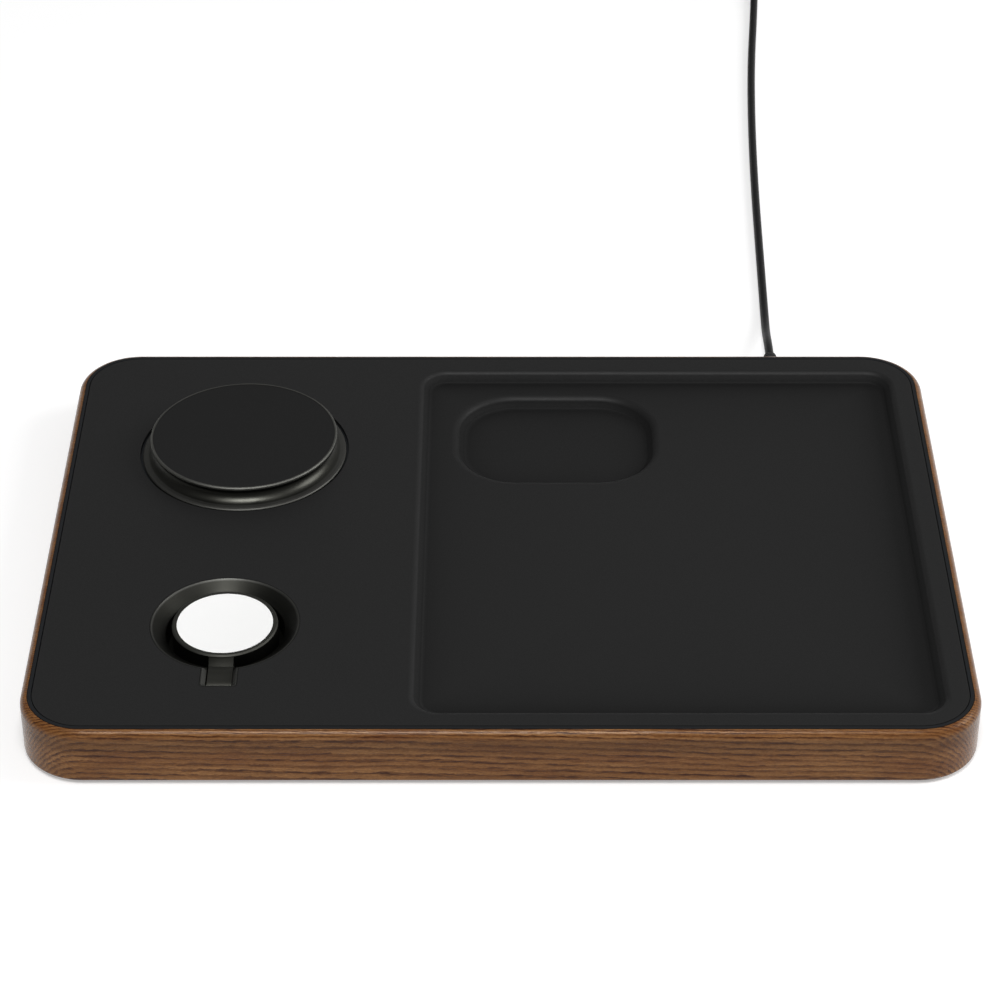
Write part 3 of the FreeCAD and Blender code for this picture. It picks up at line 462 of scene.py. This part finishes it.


# Turned gunmetal of the two chargers, with painted shade and painted highlight bands
gunmetal = {
    # painted bands of shade and highlight: colour, inner and outer radius, lowest and highest level, softness in
    # height, extra roughness
    "phoneMetal": {
        "centre": (-77.975, 40.0, 0.0), "colour": toLinear(63, 63, 59), "pale": toLinear(72, 72, 68), "rough": 0.25,
        # phone bands: painted shade under the face's rim, painted highlight on the rim and on the flange's ledge
        "paintedBands": [(toLinear(22, 22, 20), 0.0, 29.0, 20.3, 27.0, 1.0, 0.0),
                  (toLinear(104, 104, 100), 27.2, 99.0, 23.25, 30.0, 0.1, 0.2),
                  (toLinear(83, 83, 80), 29.2, 99.0, 10.0, 19.6, 0.1, 0.2)],
    },
    "dishMetal": {
        "centre": (-77.975, -45.55, 0.0), "colour": toLinear(43, 43, 40), "pale": toLinear(51, 51, 48), "rough": 0.36,
        # dish bands: painted highlight on the rim, painted shade down the well
        "paintedBands": [(toLinear(85, 85, 82), 20.6, 99.0, 17.0, 30.0, 0.1, 0.0),
                  (toLinear(31, 31, 28), 0.0, 19.0, 0.0, 15.2, 0.4, 0.1)],
    },
    "cupMetal": {
        "centre": (-77.975, -45.55, 0.0), "colour": toLinear(70, 70, 66), "pale": toLinear(78, 78, 73), "rough": 0.46,
        # cup band: painted shade on the cup's wall
        "paintedBands": [(toLinear(33, 33, 30), 0.0, 15.1, 0.0, 17.6, 0.1, 0.0)],
    },
    # darker copy of the cup metal: painted shade on the ramp, whose slope faces the lamp
    "rampShadedMetal": {
        "centre": (-77.975, -45.55, 0.0), "colour": toLinear(42, 42, 39), "pale": toLinear(48, 48, 45), "rough": 0.5,
        "paintedBands": [],
    },
}
metalLook = {
    "specular": 0.4,
    "pitch": 0.1,                   # mm between lathe marks
    "markSize": 14.0,               # mm
    "streak": (0.35, 0.7),          # noise levels over which a streak comes in
    "streakShare": 0.5,
    "cloudShare": 0.2,
    "cloudRough": 0.08,
    "streakRough": 0.1,
    "innerEdge": (-0.4, 0.2),       # mm about a band's radius over which it comes and goes
    "outerEdge": (-0.1, 0.1),
    "relief": (0.000006, 0.6),      # depth in m, strength
}


def makeGunmetal(name):
    facts = gunmetal[name]
    made, tree, shader, place = startMaterial(name, Metallic=1.0, Specular_IOR_Level=metalLook["specular"])
    turned = useGroup(tree, turning, Vector=place, Centre=facts["centre"], Pitch=metalLook["pitch"])
    marks = useGroup(tree, handling, Vector=place, Size=metalLook["markSize"])
    streak = fade(tree, turned["Streak"], *metalLook["streak"])
    tone = tint(tree, facts["colour"], facts["pale"], streak, metalLook["streakShare"])
    tone = tint(tree, tone, facts["pale"], marks["Clouds"], metalLook["cloudShare"])
    rough = weighted(tree, marks["Clouds"], metalLook["cloudRough"], turned["Streak"], metalLook["streakRough"])
    rough = calc(tree, "ADD", rough, facts["rough"])
    height = axes(tree, place)["Z"]
    # each band paints shade or highlight into the colour and adds roughness there
    for colour, inner, outer, low, high, soft, extra in facts["paintedBands"]:
        level = between(tree, height, around(low, (-soft, soft)), around(high, (-soft, soft)))
        ring = between(tree, turned["Radius"], around(inner, metalLook["innerEdge"]),
                       around(outer, metalLook["outerEdge"]))
        paintedBand = calc(tree, "MULTIPLY", level, ring)
        tone = blendColour(tree, paintedBand, tone, colour)
        rough = calc(tree, "ADD", rough, calc(tree, "MULTIPLY", paintedBand, extra))
    tree.links.new(tone, shader["Base Color"])
    tree.links.new(rough, shader["Roughness"])
    tree.links.new(bump(tree, turned["Height"], *metalLook["relief"]), shader["Normal"])
    return made


# White watch face
watchWhite = {
    "colour": toLinear(252, 252, 251),
    "second": toLinear(248, 248, 247),
    "secondShare": 0.3,
    "specular": 0.45,
    "pebble": 0.16,                 # mm
    "markSize": 16.0,               # mm
    "rough": (0.3, 0.42),           # clean and handled
    "relief": (0.000003, 0.5),      # depth in m, strength
}


def makeWatchWhite():
    made, tree, shader, place = startMaterial("watchWhite", Specular_IOR_Level=watchWhite["specular"])
    skin = useGroup(tree, mouldedSkin, Vector=place, Pebble=watchWhite["pebble"])
    marks = useGroup(tree, handling, Vector=place, Size=watchWhite["markSize"])
    tone = tint(tree, watchWhite["colour"], watchWhite["second"], marks["Clouds"], watchWhite["secondShare"])
    tree.links.new(tone, shader["Base Color"])
    tree.links.new(fade(tree, marks["Clouds"], 0.0, 1.0, *watchWhite["rough"]), shader["Roughness"])
    tree.links.new(bump(tree, skin["Height"], *watchWhite["relief"]), shader["Normal"])
    return made


# Metals and electronics that sit inside
innerFinishes = {
    # name: colour, second colour, metallic, roughness, grain size mm
    "copper": (toLinear(184, 104, 62), toLinear(140, 70, 40), 1.0, 0.3, 0.25),
    "ferrite": (toLinear(52, 50, 50), toLinear(38, 37, 38), 0.0, 0.62, 0.6),
    "magnetNickel": (toLinear(182, 180, 174), toLinear(150, 148, 144), 1.0, 0.24, 0.5),
    "boardGreen": (toLinear(22, 66, 44), toLinear(16, 48, 34), 0.0, 0.4, 1.4),
    "chipEpoxy": (toLinear(28, 28, 30), toLinear(40, 40, 42), 0.0, 0.55, 0.2),
    "steelBright": (toLinear(150, 150, 150), toLinear(112, 112, 114), 1.0, 0.3, 0.4),
}
innerLook = {
    "markSize": 30,                 # grains
    "toneShare": 0.7,
    "cloudShare": 0.3,
    "cloudRough": 0.14,
    "relief": (0.00001, 0.5),       # depth in m, strength
}


def makeInner(name):
    colour, second, metallic, rough, grain = innerFinishes[name]
    made, tree, shader, place = startMaterial(name, Metallic=metallic)
    skin = useGroup(tree, mouldedSkin, Vector=place, Pebble=grain)
    marks = useGroup(tree, handling, Vector=place, Size=grain * innerLook["markSize"])
    tone = tint(tree, colour, second, skin["Tone"], innerLook["toneShare"])
    tone = tint(tree, tone, second, marks["Clouds"], innerLook["cloudShare"])
    tree.links.new(tone, shader["Base Color"])
    worn = rough + innerLook["cloudRough"]
    tree.links.new(fade(tree, marks["Clouds"], 0.0, 1.0, rough, worn), shader["Roughness"])
    tree.links.new(bump(tree, skin["Height"], *innerLook["relief"]), shader["Normal"])
    return made


# Woven strap
weave = {
    "dark": toLinear(14, 14, 15),
    "pale": toLinear(38, 38, 39),
    "surface": {"Specular_IOR_Level": 0.2, "Sheen_Weight": 0.25, "Sheen_Roughness": 0.5},
    "warp": 11.0,                   # radians per mm across the strap
    "weft": 8.0,                    # and along it
    "threads": (-0.9, 0.9),         # wave levels over which a thread rises
    "fuzz": (6.0, 3.0, 0.7),        # frequency per mm, detail, roughness
    "fuzzShare": 0.6,
    "tone": (0.2, 1.3),             # heights over which the tone changes
    "rough": (0.3, 0.7, 0.8, 0.95),   # fuzz levels, roughness below and above them
    "relief": (0.00012, 0.8),       # depth in m, strength
}


def makeWeave():
    made, tree, shader, place = startMaterial("strapWeave", **weave["surface"])
    spot = axes(tree, place)
    warp = calc(tree, "SINE", calc(tree, "MULTIPLY", spot["Y"], weave["warp"]))
    weft = calc(tree, "SINE", calc(tree, "MULTIPLY", calc(tree, "ADD", spot["X"], spot["Z"]), weave["weft"]))
    fuzz = noise(tree, place, *weave["fuzz"])
    threads = fade(tree, calc(tree, "MULTIPLY", warp, weft), *weave["threads"])
    height = calc(tree, "ADD", threads, calc(tree, "MULTIPLY", fuzz, weave["fuzzShare"]))
    tone = blendColour(tree, fade(tree, height, *weave["tone"]), weave["dark"], weave["pale"])
    tree.links.new(tone, shader["Base Color"])
    tree.links.new(fade(tree, fuzz, *weave["rough"]), shader["Roughness"])
    tree.links.new(bump(tree, height, *weave["relief"]), shader["Normal"])
    return made


finishes = {name: makeSkin(name) for name in skins}
finishes.update({name: makeGunmetal(name) for name in gunmetal})
finishes.update({name: makeInner(name) for name in innerFinishes})
finishes["walnut"] = makeWalnut()
finishes["padMatt"] = makePad()
finishes["strapWeave"] = makeWeave()
finishes["watchWhite"] = makeWatchWhite()

dressing = {
    "walnut": ["wood_frame"],
    "padMatt": ["top_pad"],
    "deckSatin": ["deck"],
    "phoneSoft": ["phone_face"],
    "phoneMetal": ["phone_pedestal"],
    "dishMetal": ["watch_dish"],
    "cupMetal": ["watch_cup"],
    "watchWhite": ["watch_face"],
    "baseBlack": ["base_plate"],
    "footRubber": ["foot_front_left", "foot_front_right", "foot_rear_left", "foot_rear_right"],
    "plugBlack": ["cord_boot", "plug_boot", "plug_body", "power_connector"],
    "cordSheath": ["power_lead", "cord_run", "cord_coil", "cord_end"],
    "strapWeave": ["cord_tie"],
    "copper": ["phone_coil", "watch_coil", "bud_coil"],
    "ferrite": ["phone_shield", "watch_core", "bud_shield", "board_inductors"],
    "magnetNickel": ["phone_magnets", "watch_magnet", "plug_shell"],
    "boardGreen": ["phone_board", "main_board"],
    "chipEpoxy": ["board_chips"],
    "steelBright": ["watch_pin", "weight_plate", "phone_nut", "base_screws", "board_screws", "dish_screws",
                    "board_capacitors"],
}
for finish, names in dressing.items():
    for name in names:
        nodes[name].data.materials.clear()
        nodes[name].data.materials.append(finishes[finish])
print("materials on", sum(len(names) for names in dressing.values()), "nodes")


# Modelled pieces, with their sizes and places in millimetres
modelling = {
    "smooth": math.radians(35),     # edges sharper than this stay crisp
    "sides": 40,                    # round a turned piece
    "bevelSteps": 2,                # on small edges
    "roundSteps": 8,                # on rounded corners
}


def metres(values):
    return [c / 1000 for c in values]


def settle(piece, name, finish, body, node=None):
    bpy.ops.object.transform_apply(location=True, rotation=True, scale=True)
    bpy.ops.object.shade_smooth_by_angle(angle=modelling["smooth"])
    piece.name = name
    piece.data.name = name
    piece.data.materials.append(finishes[finish])
    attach(piece, body)
    if node:
        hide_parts(node)
    return piece


def turnPiece(profile, place, turn):
    # profile: distance along the piece and radius there
    bpy.ops.object.select_all(action="DESELECT")
    distance, radius = profile[0]
    bpy.ops.mesh.primitive_circle_add(vertices=modelling["sides"], radius=radius / 1000, fill_type="NGON")
    piece = bpy.context.object
    bpy.ops.object.mode_set(mode="EDIT")
    bpy.ops.mesh.select_all(action="SELECT")
    for ahead, size in profile[1:]:
        bpy.ops.mesh.extrude_region_move(TRANSFORM_OT_translate={"value": (0, 0, (ahead - distance) / 1000)})
        bpy.ops.transform.resize(value=(size / radius, size / radius, 1.0))
        distance, radius = ahead, size
    bpy.ops.mesh.select_all(action="SELECT")
    bpy.ops.mesh.normals_make_consistent(inside=False)
    bpy.ops.object.mode_set(mode="OBJECT")
    piece.rotation_euler = turn
    piece.location = metres(place)
    return piece


def ribbed(start, end, large, small, count, groove):
    # taper from a large to a small radius with rounded grooves round it
    wave = [(0.0, 0.35), (0.1, 0.08), (0.2, 0.0), (0.5, 0.0),
            (0.6, 0.08), (0.7, 0.35), (0.8, 1.0), (0.9, 1.0)]    # share of a rib's length, share of the groove
    step = (end - start) / count
    profile = []
    for k in range(count):
        for share, sunk in wave:
            ahead = start + step * (k + share)
            radius = large + (small - large) * (ahead - start) / (end - start)
            profile.append((ahead, radius - groove * sunk))
    return profile


boot = {
    "place": (87.2, 87.95, 8.686),
    "head": [(-1.5, 5.0), (-1.2, 5.4), (-0.3, 5.4), (0.0, 5.2), (0.0, 4.0), (6.2, 4.0), (6.4, 3.5)],
    "tail": ribbed(6.8, 16.6, 3.46, 2.2, 7, 0.45),
    "tip": [(16.8, 2.15), (17.15, 2.1), (17.3, 1.9)],
}
strainRelief = turnPiece(boot["head"] + boot["tail"] + boot["tip"], boot["place"], (-math.pi / 2, 0, 0))
settle(strainRelief, "strainRelief", "plugBlack", "base", "cord_boot")

neck = {
    "place": (47.2, 430.19, 3.05),
    "start": [(0.0, 1.9), (0.15, 2.1)],
    "ribs": ribbed(0.4, 7.0, 2.15, 2.62, 5, 0.4),
    "end": [(7.2, 2.6), (8.0, 2.7)],
}
plugNeck = turnPiece(neck["start"] + neck["ribs"] + neck["end"], neck["place"], (0, -math.pi / 2, 0))
settle(plugNeck, "plugNeck", "plugBlack", "base", "plug_boot")


def addBlock(size, place):
    bpy.ops.object.select_all(action="DESELECT")
    bpy.ops.mesh.primitive_cube_add(size=1.0)
    block = bpy.context.object
    block.scale = metres(size)
    block.location = metres(place)
    bpy.ops.object.transform_apply(location=True, rotation=True, scale=True)
    return block


def applyModifier(piece, kind, **settings):
    made = piece.modifiers.new(kind.lower(), kind)
    for name, value in settings.items():
        setattr(made, name, value)
    bpy.context.view_layer.objects.active = piece
    bpy.ops.object.modifier_apply(modifier=made.name)


def softenEdges(piece, facts, edge="edge"):
    applyModifier(piece, "BEVEL", width=facts[edge] / 1000, segments=modelling["bevelSteps"],
                  angle_limit=math.radians(facts["softFrom"]))


def choose(piece, mode, test):
    # selects the faces, edges or vertices that pass a test and goes into edit mode
    bpy.context.view_layer.objects.active = piece
    bpy.ops.object.mode_set(mode="EDIT")
    bpy.ops.mesh.select_mode(type=mode)
    bpy.ops.mesh.select_all(action="DESELECT")
    bpy.ops.object.mode_set(mode="OBJECT")
    kinds = {"FACE": piece.data.polygons, "EDGE": piece.data.edges, "VERT": piece.data.vertices}
    for item in kinds[mode]:
        item.select = test(item)
    bpy.ops.object.mode_set(mode="EDIT")


grip = {
    "size": (19.0, 11.4, 6.0),
    "place": (29.7, 430.19, 3.05),
    "round": 1.5,
    "roundSteps": 5,
    "grooves": [31.6, 32.9, 34.2, 35.5, 36.8],
    "groove": (0.55, 7.4, 0.8),
}


def makePlugGrip():
    piece = addBlock(grip["size"], grip["place"])
    applyModifier(piece, "BEVEL", width=grip["round"] / 1000, segments=grip["roundSteps"])
    for side in (-1, 1):
        for x in grip["grooves"]:
            cutter = addBlock(grip["groove"], (x, grip["place"][1], grip["place"][2] + side * grip["size"][2] / 2))
            applyModifier(piece, "BOOLEAN", operation="DIFFERENCE", solver="EXACT", object=cutter)
            bpy.data.objects.remove(cutter)
    bpy.ops.object.select_all(action="DESELECT")
    piece.select_set(True)
    return settle(piece, "plugGrip", "plugBlack", "base", "plug_body")


strap = {
    "size": (19.52, 8.0, 7.85),
    "place": (62.45, 408.0, 3.975),
    "round": 2.2,
    "thick": 0.6,
    "edge": 0.12,
    "tab": (10.0, 7.4, 0.5),
    "tabPlace": (61.0, 408.0, 8.17),
    "tabRound": 2.5,
    "tabEdge": 0.1,
    "lift": 0.6,                    # of the tab's free end
    "softFrom": 50,                 # degrees between two faces from which their edge is softened
}


def makeStrap():
    piece = addBlock(strap["size"], strap["place"])
    choose(piece, "FACE", lambda face: abs(face.normal.y) > 0.5)
    bpy.ops.mesh.delete(type="FACE")
    bpy.ops.object.mode_set(mode="OBJECT")
    spots = piece.data.vertices
    choose(piece, "EDGE", lambda edge: abs(spots[edge.vertices[0]].co.y - spots[edge.vertices[1]].co.y) > 0.001)
    bpy.ops.mesh.bevel(offset=strap["round"] / 1000, segments=modelling["roundSteps"], affect="EDGES")
    bpy.ops.object.mode_set(mode="OBJECT")
    applyModifier(piece, "SOLIDIFY", thickness=strap["thick"] / 1000, offset=-1.0)
    softenEdges(piece, strap)
    tab = addBlock(strap["tab"], strap["tabPlace"])
    middle = strap["tabPlace"][0] / 1000
    ends = tab.data.vertices
    choose(tab, "EDGE", lambda edge: all(ends[k].co.x < middle for k in edge.vertices) and
           abs(ends[edge.vertices[0]].co.z - ends[edge.vertices[1]].co.z) > 0.0001)
    bpy.ops.mesh.bevel(offset=strap["tabRound"] / 1000, segments=modelling["roundSteps"], affect="EDGES")
    bpy.ops.object.mode_set(mode="OBJECT")
    choose(tab, "VERT", lambda spot: spot.co.x < middle)
    bpy.ops.transform.translate(value=(0, 0, strap["lift"] / 1000))
    bpy.ops.object.mode_set(mode="OBJECT")
    softenEdges(tab, strap, "tabEdge")
    bpy.ops.object.select_all(action="DESELECT")
    tab.select_set(True)
    piece.select_set(True)
    bpy.context.view_layer.objects.active = piece
    bpy.ops.object.join()
    return settle(piece, "tieStrap", "strapWeave", "base", "cord_tie")


# Ramp that carries the top of the hinge arm up to the puck's rim
ramp = {
    "size": (6.9, 2.9, 1.5),
    "place": (-77.975, -61.55, 16.95),
    "fall": 1.44,
    "edge": 0.08,
    "softFrom": 15,
}


def makeRamp():
    piece = addBlock(ramp["size"], ramp["place"])
    middle = metres(ramp["place"])
    choose(piece, "VERT", lambda spot: spot.co.y < middle[1] and spot.co.z > middle[2])
    bpy.ops.transform.translate(value=(0, 0, -ramp["fall"] / 1000))
    bpy.ops.object.mode_set(mode="OBJECT")
    softenEdges(piece, ramp)
    settle(piece, "armRamp", "rampShadedMetal", "watch_puck")


plugGrip = makePlugGrip()
tieStrap = makeStrap()
makeRamp()
print("modelled pieces made")


# Power cord
cord = {
    # in metres
    "thick": 0.0028,
    "exit": (0.0872, 0.10525, 0.008686),
    "length": 1.153,
    # in millimetres, out of the strain relief, down to the table and back to the coil
    "route": [(87.2, 105.25, 8.686), (87.2, 114.25, 8.686), (87.7, 129.1, 3.6), (88.4, 146.1, 1.45),
              (89.3, 180.1, 1.45), (90.6, 228.1, 1.45), (92.6, 276.1, 1.45), (95.4, 322.1, 1.45),
              (99.0, 362.1, 1.45), (101.006, 388.0, 2.35), (101.006, 405.2, 2.35)],
    "tail": [(75.2, 430.19, 5.6), (66.2, 430.19, 5.6), (56.2, 430.19, 3.05), (47.2, 430.19, 3.05)],
    # the coil winds in along the table, climbs and winds out again on top
    "centre": (78.0, 408.0),
    "radius": 23.006,
    "pitch": 3.25,
    "low": 2.35,
    "turnsIn": 4.25,
    "turnsOut": 4.0,
    "climb": 0.5,                   # of a turn
    "stepsPerTurn": 24,
    "bevelSteps": 4,
    "curveSteps": 6,
}


def coilPoint(turn):
    outward = max(0.0, turn - cord["turnsIn"])
    radius = cord["radius"] - cord["pitch"] * (min(turn, cord["turnsIn"]) - outward)
    climb = min(1.0, max(0.0, (turn - cord["turnsIn"] + cord["climb"] / 2) / cord["climb"]))
    angle = 2 * math.pi * turn
    return (cord["centre"][0] + radius * math.cos(angle), cord["centre"][1] + radius * math.sin(angle),
            cord["low"] + cord["pitch"] * climb)


def makeCord():
    turns = cord["turnsIn"] + cord["turnsOut"]
    steps = round(turns * cord["stepsPerTurn"])
    points = cord["route"] + [coilPoint(turns * k / steps) for k in range(1, steps)] + cord["tail"]
    curve = bpy.data.curves.new("powerCord", "CURVE")
    curve.dimensions = "3D"
    curve.bevel_depth = cord["thick"] / 2
    curve.bevel_resolution = cord["bevelSteps"]
    curve.resolution_u = cord["curveSteps"]
    curve.use_fill_caps = True
    spline = curve.splines.new("NURBS")
    spline.points.add(len(points) - 1)
    for spot, point in zip(spline.points, points):
        spot.co = (*metres(point), 1.0)
    spline.order_u = 3
    spline.use_endpoint_u = True
    piece = bpy.data.objects.new("powerCord", curve)
    scene.collection.objects.link(piece)
    curve.materials.append(finishes["cordSheath"])
    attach(piece, "base")
    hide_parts("cord_run", "cord_coil", "cord_end")


makeCord()
print("cord laid")


# Floor, backdrop and lights
studio = {
    "floorSize": 8.0,         # m
    "floorColour": (0.8, 0.8, 0.8, 1.0),
    "floorRough": 0.8,
    "floorSpecular": 0.1,
    "floorGlow": 0.36,        # under the object, seen by the camera and in reflections only
    "farGlow": 0.9,           # the same further out, where less lamp light falls
    "glowRange": (0.35, 1.8),       # m from the middle
    "skyLeft": 0.12,          # overhead, from the left to the right
    "skyRight": 0.35,
    "skyRange": (-0.8, 0.8),        # sideways part of the direction
    "horizon": 1.0,           # pale backdrop just above the floor
    "horizonRange": (0.06, 0.14),   # upward part of the direction
    "white": (1, 1, 1, 1),
    "lamps": [
        # name, place, aim, width and height in m, watts
        ("overLamp", (-0.06, -0.65, 1.42), (0.0, 0.0, 0.0), 0.53, 0.63, 15.3),
        ("rightLamp", (1.9, 0.175, 1.24), (0.0, 0.0, 0.0), 1.1, 1.3, 20.5),
    ],
}


def makeStudio():
    bpy.ops.object.select_all(action="DESELECT")
    bpy.ops.mesh.primitive_plane_add(size=studio["floorSize"], location=(0, 0, 0))
    floor = bpy.context.object
    floor.name = "floor"
    made = bpy.data.materials.new("paleFloor")
    made.use_nodes = True
    tree = made.node_tree
    shader = tree.nodes["Principled BSDF"].inputs
    shader["Base Color"].default_value = studio["floorColour"]
    shader["Roughness"].default_value = studio["floorRough"]
    shader["Specular IOR Level"].default_value = studio["floorSpecular"]
    shader["Emission Color"].default_value = studio["white"]
    path = tree.nodes.new("ShaderNodeLightPath").outputs
    mirrored = calc(tree, "MAXIMUM", path["Is Glossy Ray"], path["Is Transmission Ray"])
    seen = calc(tree, "MAXIMUM", path["Is Camera Ray"], mirrored)
    away = vectorCalc(tree, "LENGTH", tree.nodes.new("ShaderNodeTexCoord").outputs["Object"])
    glow = fade(tree, away, *studio["glowRange"], studio["floorGlow"], studio["farGlow"])
    tree.links.new(calc(tree, "MULTIPLY", seen, glow), shader["Emission Strength"])
    floor.data.materials.append(made)

    world = bpy.data.worlds.new("studioWorld")
    scene.world = world
    world.use_nodes = True
    sky = world.node_tree
    backdrop = sky.nodes["Background"].inputs
    backdrop["Color"].default_value = studio["white"]
    toward = axes(sky, sky.nodes.new("ShaderNodeTexCoord").outputs["Generated"])
    overhead = fade(sky, toward["X"], *studio["skyRange"], studio["skyLeft"], studio["skyRight"])
    strength = fade(sky, toward["Z"], *studio["horizonRange"], studio["horizon"], overhead)
    sky.links.new(strength, backdrop["Strength"])

    for name, place, aim, width, height, watts in studio["lamps"]:
        turn = (Vector(place) - Vector(aim)).to_track_quat("Z", "Y").to_euler()
        bpy.ops.object.light_add(type="AREA", location=place, rotation=turn)
        lamp = bpy.context.object
        lamp.name = name
        lamp.data.shape = "RECTANGLE"
        lamp.data.size = width
        lamp.data.size_y = height
        lamp.data.energy = watts


makeStudio()
print("studio lit")
